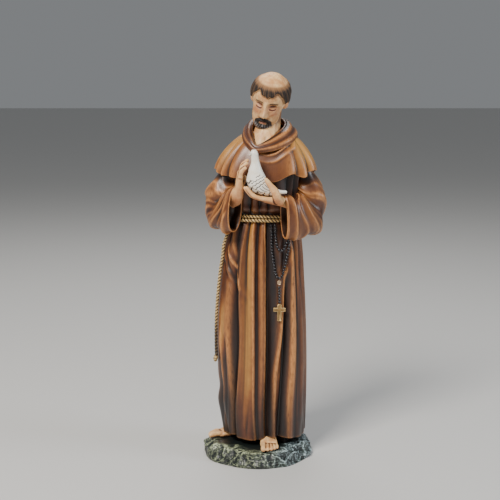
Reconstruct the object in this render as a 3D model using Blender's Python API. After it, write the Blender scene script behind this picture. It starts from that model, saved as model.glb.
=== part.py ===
"""A standing friar in painted cast resin, who cradles a dove, on a low rock base.

The statue stands along +Z with its face towards -Y, and the origin is in the middle of the flat underside.
The figure is drawn in parts of its own height, with its soles at zero.
Everything else has its own sizes in metres.
Left and right are the friar's own: the right hand is at -X.
"""

import math

import bmesh
import bpy
import numpy as np
from mathutils import Matrix, Vector, noise
from mathutils.bvhtree import BVHTree

# The figure is drawn in parts, and the waist of the drawing is at this height
FIGURE_HEIGHT = 0.2455
PARTS_TALL = 245.5
DRAWN_WAIST = 150
# The height that the waist gets: the legs stretch or shrink below it, and all above it moves with it
WAIST_HEIGHT = 150
PART = FIGURE_HEIGHT / (PARTS_TALL + WAIST_HEIGHT - DRAWN_WAIST)
# Where the figure's own middle line stands on the base
FIGURE_PLACE = (0.0028, 0.003)

# The rock base, an oval slab
BASE_THICKNESS = 0.010
BASE_WIDTH = 0.0738
BASE_DEPTH = 0.0715
BASE_ROUGHNESS = 0.0016
SEAT_GAP = 0.0003
BASE_COLUMNS = 34
# Gentler slopes in its edge: angle from the front, size as a share of the roughness, and breadth in degrees
BASE_SLOPES = ((-37, 4.5, 17), (56, 3.6, 17), (150, 2.5, 20))
# Rings of the base: share of its thickness, then inset, roughness and sinking as shares of the roughness
BASE_LEVELS = (
    (0.0, 0.6, 0.6, 0.0),
    (0.25, 0.0, 1.8, 0.0),
    (0.62, 0.5, 2.4, 0.0),
    (0.96, 1.6, 2.2, 0.45),
    (1.0, 4.5, 1.6, 0.0),
)

# The waist cord, wound twice round the waist, with one end hanging
CORD_DIAMETER = 0.0021
CORD_TURN_GAP = 0.00035
CORD_END_LENGTH = 0.090
CORD_KNOT_LENGTH = 0.004
CORD_CLEARANCE = 0.00035
CORD_START, CORD_STEP = -80, 18
# The angle at which its end hangs down the right side
CORD_HANG = -77
CORD_HANGING_STEPS = 13
REACH_COLUMNS = 8
WAIST_RADIUS = 21

# The rosary
BEAD_DIAMETER = 0.0020
BEAD_PITCH = 0.0020
BEAD_CLEARANCE = 0.0004
CROSS_HEIGHT = 0.0112
CROSS_WIDTH = 0.0078
CROSS_BAR = 0.0026
CROSS_THICKNESS = 0.0012
MEDAL_DIAMETER = 0.0030
MEDAL_THICKNESS = 0.0012
PENDANT_LENGTH = 0.0115
CROSS_ARM_SHARE = 0.36
# Places in the figure's parts: the loop from the belt round to the belt again, the medal and the cross
ROSARY_LOOP = (
    (5.8, 148.8), (6.1, 144.3), (6.2, 138.5), (6.1, 132.3), (7.0, 126.1), (8.0, 119.5), (9.3, 115.0),
    (11.2, 113.2), (13.2, 115.0), (14.5, 118.8), (15.5, 123.6), (16.6, 128.4), (17.5, 133.4), (17.3, 137.8),
    (15.9, 135.8), (14.5, 132.5),
    (12.7, 131.3), (10.8, 132.2), (9.5, 135.1), (8.8, 140.1), (8.6, 144.6), (8.5, 148.8),
)
MEDAL_PLACE = (11.2, 110.4)
CROSS_X = 11.4

# The dove keeps this clearance in the hands that hold it
DOVE_CLEARANCE = 0.0003

# Robe: half-width, half-depth and centre of its outline at these heights, in parts
ROBE_HEIGHTS = (4.5, 20, 50, 80, 110, 135, 147, 152.8, 159, 175, 190, 200, 207)
ROBE_HALF_WIDTHS = (27.8, 29.2, 30.1, 29.7, 27.9, 25.1, 22.4, 20.0, 22.2, 23.6, 24.0, 17.0, 9.0)
ROBE_HALF_DEPTHS = (23.0, 23.2, 22.6, 21.8, 20.2, 18.4, 16.8, 15.2, 17.2, 18.4, 17.0, 13.0, 8.0)
ROBE_CENTRES_X = (1.6, 0.7, 0.2, 0.0, 0.4, 1.4, 2.2, 2.6, 2.8, 3.0, 3.6, 3.8, 4.0)
ROBE_HEM = 4.5
ROBE_CENTRE_Y = 0.5
ROBE_SQUARENESS = 2.2
ROBE_ROWS = (4.5, 11, 24, 40, 60, 80, 98, 111, 122, 134, 145, 152, 157, 165, 179, 197)
COLUMNS_PER_PLEAT = 3
HEM_TUCKS = ((1.6, 0.0), (4.6, 1.6), (5.2, -ROBE_HEM))

KNEE_HEIGHT = 75
# Valleys between the robe's pleats: degrees from the front at waist, knee and hem, then depth there in parts
ROBE_VALLEYS = (
    ((-172, -171, -169), (1.4, 2.0, 2.6)),
    ((-149, -147, -148), (1.2, 2.2, 3.0)),
    ((-123, -125, -121), (1.2, 1.8, 2.6)),
    ((-97, -101, -95), (1.2, 1.3, 2.8)),
    ((-70, -60, -68), (1.3, 0.5, 2.8)),
    ((-50, -33, -47), (2.4, 3.4, 3.6)),
    ((-29, -20, -27), (1.7, 0.3, 0.4)),
    ((-12.5, -7.5, -11), (2.0, 1.5, 1.1)),
    ((4, 8, 2.6), (2.5, 4.6, 3.8)),
    ((34, 32.5, 21), (1.6, 4.0, 3.6)),
    ((49, 53, 47), (1.6, 1.0, 0.8)),
    ((63, 66, 63), (1.8, 0.5, 0.4)),
    ((79, 80, 79), (1.8, 2.0, 2.2)),
    ((98, 101, 99), (1.3, 1.8, 2.6)),
    ((122, 124, 122), (1.2, 2.2, 3.0)),
    ((146, 147, 146), (1.2, 2.0, 2.6)),
    ((168, 169, 170), (1.4, 2.2, 2.8)),
)
# The fold that is drawn across the right thigh: from and to, as angle and height, then its size and breadth
THIGH_FOLD = ((-80, 127), (-36, 107), 1.0, 3.2)

# Shoulder cape: its ring round the neck and its hem ring, as centre x, centre y, half-width, half-depth
CAPE_NECK = (4.5, -2.0, 11.5, 13.0)
CAPE_HEM = (2.4, -1.6, 33.6, 21.6)
CAPE_NECK_HEIGHT = 204.5
# How far its neck ring sinks at the throat
CAPE_NECK_DIP = 6
CAPE_ROWS = 8
CAPE_SQUARENESS = 2.35
CAPE_SLOPE = 1.38
CAPE_THICKNESS = 1.4
CAPE_HEM_HEIGHTS = (
    (-180, 174), (-140, 176), (-110, 181), (-90, 183), (-76, 183.6), (-64, 180.8), (-48, 180), (-20, 178),
    (12, 176.9), (32, 181.6), (46, 179), (60, 182.4), (84, 182.6), (110, 179), (145, 175), (180, 174),
)
CAPE_VALLEYS = (
    (-160, 1.2), (-126, 1.5), (-96, 1.5), (-76, 1.6), (-62, 2.2), (-48, 1.8), (-28, 0.9), (14, 0.3),
    (38, 1.5), (57, 2.4), (76, 1.4), (98, 1.6), (128, 1.5), (160, 1.2),
)
CAPE_COLUMNS_PER_VALLEY = 3

# Hood collar: angle from the front, then the inner and the outer edge of the band
COLLAR = (
    (-180, (5.0, 9.0, 216.0), (5.0, 17.5, 208.0)),
    (-135, (-3.0, 5.5, 216.0), (-7.5, 11.5, 208.0)),
    (-90, (-5.6, -3.0, 213.6), (-12.4, -2.5, 205.4)),
    (-60, (-6.6, -10.0, 209.8), (-12.2, -10.5, 202.0)),
    (-28, (-5.4, -15.6, 204.4), (-9.4, -18.6, 198.4)),
    (0, (-3.0, -18.6, 199.8), (-3.4, -22.0, 195.2)),
    (22, (2.6, -17.0, 202.4), (6.6, -21.6, 196.4)),
    (48, (9.4, -13.0, 207.0), (16.4, -17.4, 199.6)),
    (90, (14.6, -3.5, 211.8), (23.2, -3.5, 203.6)),
    (135, (13.0, 5.5, 215.4), (18.0, 11.5, 207.4)),
    (180, (5.0, 9.0, 216.0), (5.0, 17.5, 208.0)),
)
COLLAR_HALF_THICKNESS = 2.3
COLLAR_RIPPLE = 0.5
COLLAR_COLUMNS = 26
COLLAR_ROWS = 8

# Head, in a frame of its own at its middle
HEAD_CENTRE = (4.6, -8.0, 228.0)
HEAD_TURN, HEAD_NOD, HEAD_TILT = -12.0, 21.0, 14.0
SKULL_CENTRE, SKULL_RADII = (0.0, 1.8, 4.6), (11.8, 14.2, 13.2)
JAW_CENTRE, JAW_RADII = (0.0, -3.6, -6.8), (8.9, 9.4, 13.6)
HAIR_THICKNESS, HAIR_LOCK, HAIR_TOP, HAIR_FRINGE = 1.3, 0.3, 12.6, 7.4
# The lower edge of the hair: degrees from the face's middle, then height over the fringe
HAIR_EDGE = ((0, 0), (32, 0.6), (48, -0.8), (72, -6.0), (84, -5.6), (110, -11.5), (180, -14.5))
HEAD_COLUMNS, HEAD_ROWS = 28, 18

SLEEVE_COLUMNS, SLEEVE_ROWS = 14, 12
CUFF_DEPTH_ROWS = (0.94, 0.82)
CUFF_WALL = 1.1

# Sleeves: rows from shoulder to cuff, as centre, half-height vector and half-width vector
RIGHT_SLEEVE = (
    ((-20.0, 0.5, 194), (-6.5, 0, -1.0), (0, -7.5, 0)),
    ((-22.0, 0.0, 182), (-6.8, 0, -1.5), (0, -8.5, 0)),
    ((-26.5, -1.0, 170.5), (-10.3, 0.5, -4.0), (-0.5, -9, 0)),
    ((-27.8, -4.0, 161.5), (-8.6, 2.0, -10.0), (-2, -9, 0)),
    ((-25.5, -10.0, 157.6), (-4.5, 2.0, -12.8), (-4.3, -7.5, 0)),
    ((-21.8, -17.0, 157.8), (-2.0, 1.5, -14.3), (-4.3, -6, 0)),
    ((-17.4, -22.4, 158.8), (-1.0, 1.0, -14.6), (-4.1, -5.6, 0)),
)
LEFT_SLEEVE = (
    ((26.0, 0.0, 194), (6.5, 0, -1.0), (0, -7.5, 0)),
    ((28.0, -0.5, 182), (7.0, 0, -1.5), (0, -8.5, 0)),
    ((31.0, -2.0, 169.5), (10.3, 0, -4.0), (0.5, -9.2, 0)),
    ((31.2, -6.0, 159.5), (8.6, 1.5, -10.5), (2.5, -9, 0)),
    ((28.6, -15.0, 154.2), (4.2, 1.5, -13.2), (3.6, -6.2, 0)),
    ((21.4, -21.2, 153.2), (1.2, 1.0, -13.4), (3.2, -5.0, 0)),
    ((14.4, -24.2, 153.8), (0.5, 1.0, -13.8), (2.2, -4.8, 0)),
)

# Hands: rows from inside the sleeve to the knuckles, as centre, half-width vector and half-thickness vector
RIGHT_PALM = (
    ((-24.0, -17.0, 160.5), (0.6, -4.2, 0), (-3.6, 0, 2.8)),
    ((-17.2, -23.6, 166.3), (0.6, -4.0, -1.0), (-3.9, -0.6, 2.6)),
    ((-14.6, -27.4, 172.8), (0.4, -4.9, 0), (-3.1, -0.2, 1.0)),
    ((-14.3, -28.9, 178.6), (0.2, -5.2, -1.0), (-2.3, 0, 0.2)),
    ((-13.7, -29.4, 182.8), (0.0, -4.7, -1.4), (-1.9, 0, 0.8)),
)
LEFT_PALM = (
    ((24.0, -17.5, 157.5), (0, -4.0, 0), (0, 0, 3.4)),
    ((15.2, -23.2, 163.4), (-0.6, -4.2, 0), (0.2, 0, 3.5)),
    ((8.8, -28.2, 165.2), (-0.4, -5.6, 0.4), (0.6, 0, 2.9)),
    ((2.5, -30.0, 166.2), (0, -5.9, 0.4), (0.8, 0, 2.0)),
    ((-1.0, -30.4, 167.6), (0, -5.4, 0.4), (0.8, 0, 1.5)),
)
# Fingers: base, middle joint and tip, the thumb last
RIGHT_FINGERS = (
    ((-14.0, -33.6, 180.0), (-12.9, -33.9, 184.2), (-9.9, -33.4, 187.2)),
    ((-13.9, -31.1, 181.8), (-12.6, -31.4, 186.6), (-8.9, -30.8, 189.9)),
    ((-13.7, -28.4, 183.0), (-12.2, -28.5, 188.2), (-8.4, -27.9, 191.6)),
    ((-13.4, -25.8, 183.2), (-12.0, -25.8, 187.2), (-9.0, -25.2, 190.2)),
    ((-14.2, -25.0, 171.5), (-12.2, -23.2, 176.5), (-10.6, -23.2, 181.0)),
)
LEFT_FINGERS = (
    ((1.0, -34.6, 166.8), (-5.6, -35.0, 169.4), (-10.4, -34.4, 175.0)),
    ((0.6, -32.0, 166.6), (-6.6, -32.2, 169.0), (-11.6, -31.8, 174.6)),
    ((0.6, -29.3, 166.6), (-6.4, -29.4, 168.9), (-11.2, -29.0, 174.2)),
    ((0.8, -26.7, 166.8), (-5.2, -26.6, 169.0), (-9.4, -26.3, 173.4)),
    ((12.0, -29.8, 164.8), (7.0, -35.6, 172.8), (1.7, -36.8, 180.8)),
)
FINGER_RADIUS, FINGER_TIP_RADIUS = 1.5, 1.1
THUMB_RADII = {"right": 2.3, "left": 3.3}
FINGER_SLACK, PALM_SLACK, WING_THICKNESS = 0.65, 0.6, 0.9

# Feet: place of the heel on the ground, and the way the toes point in degrees from the front
LEFT_FOOT = ((4.0, -8.0), 2.0)
RIGHT_FOOT = ((-10.5, 5.0), -76.0)
FOOT_LENGTH, FOOT_HALF_WIDTH, FOOT_HEIGHT = 24.0, 5.8, 10.0
# Rows of a foot: share of its length, then width and height as shares of its own
FOOT_ROWS = ((0, 0.8, 0.9), (0.33, 0.85, 0.7), (0.55, 0.97, 0.54), (0.78, 1.0, 0.42), (0.88, 0.9, 0.28))

# Dove: rows from the crown to the tail, as centre, half-width and half-depth
DOVE_ROWS = (
    ((-5.2, -31.4, 197.8), 1.3, 1.3),
    ((-5.0, -31.2, 195.6), 2.5, 2.4),
    ((-4.5, -31.0, 192.4), 2.4, 2.3),
    ((-4.2, -30.8, 189.0), 2.9, 2.7),
    ((-4.2, -30.6, 184.6), 4.5, 3.9),
    ((-3.8, -30.4, 179.4), 6.2, 5.0),
    ((-1.8, -30.4, 175.5), 5.9, 5.0),
    ((2.8, -30.0, 172.9), 4.5, 4.2),
    ((7.2, -29.2, 171.2), 2.8, 3.4),
    ((11.4, -28.2, 170.7), 1.4, 3.2),
    ((15.2, -27.0, 170.6), 1.0, 3.2),
)
BEAK_PATH, BEAK_RADII = ((-6.0, -32.0, 195.2), (-7.4, -32.8, 194.9), (-8.2, -33.2, 194.6)), (1.0, 0.65, 0.25)


def soft_steps(at, knots, values):
    """Values at some places, on a curve that passes each knot with the slope of its two neighbours."""
    at, knots, values = np.asarray(at, float), np.asarray(knots, float), np.asarray(values, float)
    slopes = np.gradient(values, knots, axis=0)
    k = np.clip(np.searchsorted(knots, at, side="right") - 1, 0, len(knots) - 2)
    span = knots[k + 1] - knots[k]
    t = np.clip((at - knots[k]) / span, 0, 1)
    more = (...,) + (None,) * (values.ndim - 1)
    t, span = t[more], span[more]
    start = (2 * t**3 - 3 * t**2 + 1) * values[k] + (t**3 - 2 * t**2 + t) * span * slopes[k]
    return start + (3 * t**2 - 2 * t**3) * values[k + 1] + (t**3 - t**2) * span * slopes[k + 1]


def hump(x, middle, width):
    """A bell-shaped swelling of height one."""
    return np.exp(-(((x - middle) / width) ** 2))


def turned_angle(a, b):
    """The angle from b to a in degrees, from -180 to 180."""
    return (a - b + 180) % 360 - 180


def oval(angle, squareness):
    """Unit outline of a squared oval, x to the left and y to the back, at angles measured from the front."""
    s, c = np.sin(angle), np.cos(angle)
    size = (np.abs(s) ** squareness + np.abs(c) ** squareness) ** (-1 / squareness)
    return s * size, -c * size


def pleat_depth(within):
    """How deep a pleat lies below its panel: one at a valley, and nothing along the broad middle."""
    return (1 - np.sin(np.pi * within)) ** 1.5


def robe_surface(columns, heights):
    """Points of the robe's outside; a column number counts pleats, and a whole number runs down a valley."""
    count = len(ROBE_VALLEYS)
    angles = np.array([v[0] for v in ROBE_VALLEYS], float)
    depths = np.array([v[1] for v in ROBE_VALLEYS], float)
    levels = (ROBE_HEM, KNEE_HEIGHT, DRAWN_WAIST)
    at = np.clip(heights, ROBE_HEM, DRAWN_WAIST)
    angles = soft_steps(at, levels, angles[:, ::-1].T)
    depths = soft_steps(at, levels, depths[:, ::-1].T)
    angles = np.concatenate([angles, angles[:, :1] + 360], axis=1)
    depths = np.concatenate([depths, depths[:, :1]], axis=1)
    k = np.minimum(columns.astype(int), count - 1)
    within = columns - k
    degrees = angles[:, k] * (1 - within) + angles[:, k + 1] * within
    depth = (depths[:, k] * (1 - within) + depths[:, k + 1] * within) * pleat_depth(within)
    z = heights[:, None] + 0 * degrees
    depth = depth * (1 - 0.75 * hump(z, DRAWN_WAIST + 3, 4.5)) * np.clip((208 - z) / 30, 0, 1)
    half_width = soft_steps(z, ROBE_HEIGHTS, ROBE_HALF_WIDTHS)
    half_depth = soft_steps(z, ROBE_HEIGHTS, ROBE_HALF_DEPTHS)
    centre = soft_steps(z, ROBE_HEIGHTS, ROBE_CENTRES_X)
    thigh = 0.055 * hump(turned_angle(degrees, -52), 0, 22) * hump(z, 82, 30)
    (start, start_z), (end, end_z), size, breadth = THIGH_FOLD
    along = (degrees - start) / (end - start)
    off = (z - start_z - along * (end_z - start_z)) / breadth
    drawn = size * off * np.exp(-(off**2)) * 2.3 * hump(along, 0.5, 0.55) / half_depth
    bunched = 0.035 * hump(turned_angle(degrees, -95), 0, 30) * (hump(z, 27, 7) - hump(z, 37, 6))
    x, y = oval(np.radians(degrees), ROBE_SQUARENESS)
    scale = 1 + thigh + drawn + bunched - depth / half_depth
    hem_wave = 0.9 * np.sin(np.radians(5 * degrees)) + 0.8 * hump(turned_angle(degrees, 8), 0, 16)
    z = z + hem_wave * np.exp(-(z - ROBE_HEM) / 9)
    return np.stack([centre + half_width * scale * x, ROBE_CENTRE_Y + half_depth * scale * y, z], axis=-1)


def robe_rings():
    """The robe from the plug it stands on, under the hem and up to the shoulders."""
    columns = np.arange(len(ROBE_VALLEYS) * COLUMNS_PER_PLEAT) / COLUMNS_PER_PLEAT
    outside = robe_surface(columns, np.array(ROBE_ROWS, float))
    hem = outside[0]
    middle = np.array([ROBE_CENTRES_X[0], ROBE_CENTRE_Y, 0])
    inwards = middle - hem
    inwards[:, 2] = 0
    inwards /= np.linalg.norm(inwards, axis=1, keepdims=True)
    tucked = []
    for inset, rise in HEM_TUCKS:
        ring = hem + inwards * inset
        ring[:, 2] = 0 if rise < 0 else hem[:, 2] + rise
        tucked.append(ring)
    return np.concatenate([np.array(tucked[::-1]), outside])


def cape_rings():
    """The shoulder cape: over the shoulders to its hem, then under the lip."""
    valleys = np.array([v[0] for v in CAPE_VALLEYS] + [CAPE_VALLEYS[0][0] + 360], float)
    valley_depths = np.array([v[1] for v in CAPE_VALLEYS] + [CAPE_VALLEYS[0][1]], float)
    columns = np.arange(len(CAPE_VALLEYS) * CAPE_COLUMNS_PER_VALLEY) / CAPE_COLUMNS_PER_VALLEY
    k = columns.astype(int)
    within = columns - k
    degrees = valleys[k] * (1 - within) + valleys[k + 1] * within
    depth = (valley_depths[k] * (1 - within) + valley_depths[k + 1] * within) * pleat_depth(within)
    hem_at, hem_z = np.array(CAPE_HEM_HEIGHTS, float).T
    hem_height = soft_steps((degrees + 180) % 360 - 180, hem_at, hem_z)
    x, y = oval(np.radians(degrees), CAPE_SQUARENESS)
    rings = []
    for share in np.linspace(0, 1, CAPE_ROWS):
        spread = math.sin(share * math.pi / 2) ** CAPE_SLOPE
        fall = 1 - abs(math.cos(share * math.pi / 2)) ** CAPE_SLOPE
        ring = [
            (1 - spread) * neck + spread * hem for neck, hem in zip(CAPE_NECK, CAPE_HEM)
        ]
        scale = 1 - depth * share**1.5 / ring[3]
        z = CAPE_NECK_HEIGHT + 4.5 * np.abs(x) * (1 - share) + (hem_height - CAPE_NECK_HEIGHT) * fall
        z = z - CAPE_NECK_DIP * hump(turned_angle(degrees, -8), 0, 38) * (1 - share) ** 2
        rings.append(np.stack([ring[0] + ring[2] * scale * x, ring[1] + ring[3] * scale * y, z], axis=-1))
    hem = rings[-1]
    middle = np.array([CAPE_HEM[0], CAPE_HEM[1], 0])
    out = hem - middle
    out[:, 2] = 0
    out /= np.linalg.norm(out, axis=1, keepdims=True)
    rings.append(hem - out * CAPE_THICKNESS)
    rings.append(hem - out * (CAPE_THICKNESS + 0.4) + np.array([0, 0, 2.6]))
    return np.array(rings)[::-1]


def collar_rings():
    """The rolled hood collar, as rings that run round its thickness, one for each place round the neck."""
    degrees = np.linspace(-180, 180, COLLAR_COLUMNS, endpoint=False)
    knots = [row[0] for row in COLLAR]
    inner, outer = (soft_steps(degrees, knots, [row[k] for row in COLLAR]) for k in (1, 2))
    middle, across = (inner + outer) / 2, (outer - inner) / 2
    along = np.roll(middle, -1, axis=0) - np.roll(middle, 1, axis=0)
    out = np.cross(across, along)
    out /= np.linalg.norm(out, axis=1, keepdims=True)
    around = np.linspace(0, 2 * math.pi, COLLAR_ROWS, endpoint=False)[None, :, None]
    thick = COLLAR_HALF_THICKNESS + COLLAR_RIPPLE * np.cos(4 * around)
    return middle[:, None] + across[:, None] * np.cos(around) + out[:, None] * np.sin(around) * thick


def sleeve_rings(rows):
    """A bell sleeve: outside from shoulder to cuff, then back into the open cuff, which is a pocket."""
    centre, half_height, half_width = (np.array(part, float) for part in zip(*rows))
    knots = np.linspace(0, 1, len(rows))
    around = np.linspace(0, 2 * math.pi, SLEEVE_COLUMNS, endpoint=False)
    s, c = oval(around, 2.3)

    def ring(share, wall):
        middle, down, side = (soft_steps(share, knots, v) for v in (centre, half_height, half_width))
        free = min(1, share * 3) * min(1, (1 - share) * 9)
        fold = free * 0.075 * np.sin(2 * math.pi * 3.6 * share + 0.9 * np.cos(around))
        down_size, side_size = np.linalg.norm(down), np.linalg.norm(side)
        return (
            middle
            - down * (c * (1 + fold - wall / down_size))[:, None]
            + side * (s * (1 + 1.6 * fold - wall / side_size))[:, None]
        )

    outside = [ring(share, 0) for share in np.linspace(0, 1, SLEEVE_ROWS)]
    inside = [ring(share, CUFF_WALL) for share in (1.0,) + CUFF_DEPTH_ROWS]
    return np.array(outside + inside)


def limb_rings(rows, columns, squareness=2.3):
    """A limb from rows of centre, half-width vector and half-thickness vector."""
    around = np.linspace(0, 2 * math.pi, columns, endpoint=False)
    s, c = oval(around, squareness)
    rings = [
        np.array(centre) + np.array(width) * s[:, None] + np.array(thickness) * c[:, None]
        for centre, width, thickness in rows
    ]
    return np.array(rings)


def tube_rings(path, radii, columns):
    """Round rings square to a path, each with its own radius."""
    path = np.asarray(path, float)
    along = np.gradient(path, axis=0)
    along /= np.linalg.norm(along, axis=1, keepdims=True)
    side = np.cross(along[0], (0, -1, 0.02))
    around = np.linspace(0, 2 * math.pi, columns, endpoint=False)[:, None]
    rings = []
    for point, way, radius in zip(path, along, radii):
        side = side - way * (side @ way)
        side /= np.linalg.norm(side)
        rings.append(point + radius * (np.cos(around) * side + np.sin(around) * np.cross(way, side)))
    return np.array(rings)


def finger_rings(joints, radius, tip_radius, places):
    """A finger through its base, middle joint and tip, clear of the dove, with a ring at each place."""
    base, middle, tip = (np.array(j) for j in joints)
    path = soft_steps(np.array(places), (0, 1, 2), np.array([base, middle, tip]))
    radii = np.linspace(radius, tip_radius, len(places))
    path = clear_of_dove(path, radii + FINGER_SLACK)
    radii[-1] *= 0.5
    return tube_rings(path, radii, 6)


def head_frame():
    """The head's own frame: turned to the right side, bowed and tilted."""
    turn = Matrix.Rotation(math.radians(HEAD_TURN), 3, "Z")
    nod = Matrix.Rotation(math.radians(HEAD_NOD), 3, "X")
    tilt = Matrix.Rotation(math.radians(HEAD_TILT), 3, "Y")
    return np.array(turn @ nod @ tilt)


def reach(direction, centre, radii):
    """Distance from the head's middle to an oval's far side, along unit directions."""
    centre, radii = np.array(centre), np.array(radii)
    d, m = direction / radii, centre / radii
    a, b, c = (d * d).sum(-1), (d * m).sum(-1), (m * m).sum() - 1
    return (b + np.sqrt(np.maximum(b * b - a * c, 0))) / a


def spot(x, z, at_x, at_z, wide, tall):
    """A soft round mark on the face."""
    return hump(x, at_x, wide) * hump(z, at_z, tall)


def face_relief(x, z):
    """How far the face stands out from the plain head: calm, with lowered lids, on a face's usual thirds."""
    side = np.abs(x)
    nose_height = soft_steps(z, (-7.6, -6.6, -5.2, -1.0, 2.2, 4.0), (0, 1.6, 3.5, 1.7, 0.7, 0))
    nose = np.where((z > -7.6) & (z < 4), nose_height, 0) * hump(x, 0, 1.75 - 0.09 * z)
    sockets = -1.5 * spot(side, z, 4.3, 0.2, 2.6, 1.8)
    lids = 1.1 * spot(side, z, 4.4, -0.1, 1.9, 1.2)
    brow = 0.5 * spot(side, z, 4.0, 2.6, 3.4, 1.0)
    cheeks = 0.7 * spot(side, z, 6.2, -3.2, 2.6, 2.4)
    lips = 0.55 * spot(x, z, 0, -9.0, 2.7, 0.6) + 0.75 * spot(x, z, 0, -10.6, 2.3, 0.7)
    chin = 1.0 * spot(x, z, 0, -14.0, 3.2, 2.2) - 0.3 * spot(x, z, 0, -12.2, 2.6, 0.8)
    beard = 0.9 * hump(z, -13, 5.5) * hump(x, 0, 9)
    return nose + sockets + lids + brow + cheeks + lips + chin + beard


def hair_cover(longitude, z):
    """Where the ring of hair lies: under the shaven crown, above the brow and ears, and down to the nape."""
    degrees = np.degrees(longitude)
    fringe = HAIR_FRINGE + 0.8 * np.cos(np.radians(6 * degrees))
    lower = fringe + soft_steps(np.abs(degrees), *zip(*HAIR_EDGE))
    return np.clip((z - lower) / 0.8, 0, 1) * np.clip((HAIR_TOP - z) / 3.2, 0, 1)


def head_rings():
    """The head with its face, beard and ring of hair, in the figure's parts."""
    share = np.linspace(-0.5, 0.5, HEAD_COLUMNS, endpoint=False)
    longitude = 2 * math.pi * (share - 0.45 * np.sin(2 * math.pi * share) / (2 * math.pi))
    latitude = np.radians(np.linspace(-74, 86, HEAD_ROWS))[:, None]
    longitude = longitude[None, :] + 0 * latitude
    flat = np.cos(latitude)
    direction = np.stack(
        [np.sin(longitude) * flat, -np.cos(longitude) * flat, np.sin(latitude) + 0 * longitude], axis=-1
    )
    skull, jaw = reach(direction, SKULL_CENTRE, SKULL_RADII), reach(direction, JAW_CENTRE, JAW_RADII)
    size = (skull**9 + jaw**9) ** (1 / 9)
    point = direction * size[..., None]
    front = np.clip(direction[..., 1] * -2.2 - 0.4, 0, 1)
    point[..., 1] -= front * face_relief(point[..., 0], point[..., 2])
    lock = HAIR_LOCK * np.where(np.arange(HEAD_COLUMNS) % 2, -1, 1)
    point += direction * ((HAIR_THICKNESS + lock) * hair_cover(longitude, point[..., 2]))[..., None]
    return point @ head_frame().T + np.array(HEAD_CENTRE)


def in_head(point):
    """A point of the head's own frame, in the figure's."""
    return head_frame() @ np.array(point) + np.array(HEAD_CENTRE)


def ear_rings(side):
    """An ear: a flat upright oval that leans back."""
    rows = [(z, math.sqrt(1 - (z / 3.9) ** 2)) for z in (-3.5, -1.9, 0.0, 1.9, 3.5)]
    turn = head_frame()
    rings = [
        (
            in_head((side * 10.4, 1.4 - 0.25 * z, z - 0.4)),
            turn @ np.array((side * 2.4 * size, 1.1 * size, 0)),
            turn @ np.array((0, 2.0 * size, 0)),
        )
        for z, size in rows
    ]
    return limb_rings(rings, 6)


def foot_rings(heel, degrees):
    """A bare foot, from under the hem to the ball of the toes."""
    turn = np.array(Matrix.Rotation(math.radians(degrees), 3, "Z"))
    rows = []
    for share, wide, tall in FOOT_ROWS:
        half = FOOT_HEIGHT * tall / 2
        middle = turn @ np.array((0, -FOOT_LENGTH * share, 0)) + np.array((heel[0], heel[1], half))
        rows.append((middle, turn @ np.array((FOOT_HALF_WIDTH * wide, 0, 0)), np.array((0, 0, half))))
    return limb_rings(rows, 8, 2.6)


def toe_rings(heel, degrees, number):
    """One toe of five, the first one largest; its number's sign gives the side on which the first one is."""
    turn = np.array(Matrix.Rotation(math.radians(degrees), 3, "Z"))
    order = abs(number) - 1
    side = math.copysign(1, number)
    radius = (1.55, 1.15, 1.1, 1.0, 0.95)[order]
    across = side * FOOT_HALF_WIDTH * (0.72, 0.22, -0.18, -0.54, -0.86)[order]
    end = FOOT_LENGTH * (1.14, 1.13, 1.10, 1.05, 0.99)[order]
    start = FOOT_LENGTH * 0.78
    places = np.array([(across, -start, 2.6), (across, -(end - 2.0), 1.8), (across, -end, 1.3)])
    path = places @ turn.T + np.array((heel[0], heel[1], 0))
    return tube_rings(path, np.array([0.9, 1.05, 0.6]) * radius, 6)


def figure_metres(points):
    """Points given in parts, in metres: the soles are on the base, and the waist is at its height."""
    points = np.array(points, float)
    z = points[..., 2]
    stretch, lift = WAIST_HEIGHT / DRAWN_WAIST, WAIST_HEIGHT - DRAWN_WAIST
    points[..., 2] = np.where(z < DRAWN_WAIST, z * stretch, z + lift)
    return points * PART + np.array([*FIGURE_PLACE, BASE_THICKNESS + SEAT_GAP])


def shell(name, rings, round_rings=False, capped=True):
    """A closed mesh object from rings of points, in metres: a skin between them and a fan over each end."""
    rows, columns = rings.shape[:2]
    points = [tuple(p) for p in rings.reshape(-1, 3)]
    faces = []
    for r in range(rows if round_rings else rows - 1):
        for c in range(columns):
            a, b = r * columns + c, r * columns + (c + 1) % columns
            up = columns if r + 1 < rows else columns * (1 - rows)
            faces.append((a, b, b + up, a + up))
    if capped and not round_rings:
        for first, ring in ((0, rings[0]), ((rows - 1) * columns, rings[-1])):
            points.append(tuple(ring.mean(axis=0)))
            faces += [(len(points) - 1, first + (c + 1) % columns, first + c) for c in range(columns)]
    mesh = bpy.data.meshes.new(name)
    mesh.from_pydata(points, [], faces)
    settle_normals(mesh)
    obj = bpy.data.objects.new(name, mesh)
    bpy.context.scene.collection.objects.link(obj)
    return obj


def settle_normals(mesh):
    """Turns every face of a closed mesh outwards."""
    work = bmesh.new()
    work.from_mesh(mesh)
    bmesh.ops.recalc_face_normals(work, faces=work.faces)
    if work.calc_volume(signed=True) < 0:
        bmesh.ops.reverse_faces(work, faces=work.faces)
    work.to_mesh(mesh)
    work.free()


def paint(obj, name, colour, roughness, metallic=0.0):
    """Gives an object a plain painted material of its own and smooth shading with crisp folds."""
    material = bpy.data.materials.new(name)
    material.use_nodes = True
    shader = material.node_tree.nodes["Principled BSDF"]
    shader.inputs["Base Color"].default_value = (*colour, 1)
    shader.inputs["Roughness"].default_value = roughness
    shader.inputs["Metallic"].default_value = metallic
    obj.data.materials.append(material)
    obj.data.shade_smooth()
    obj.data.set_sharp_from_angle(angle=math.radians(50))


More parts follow.
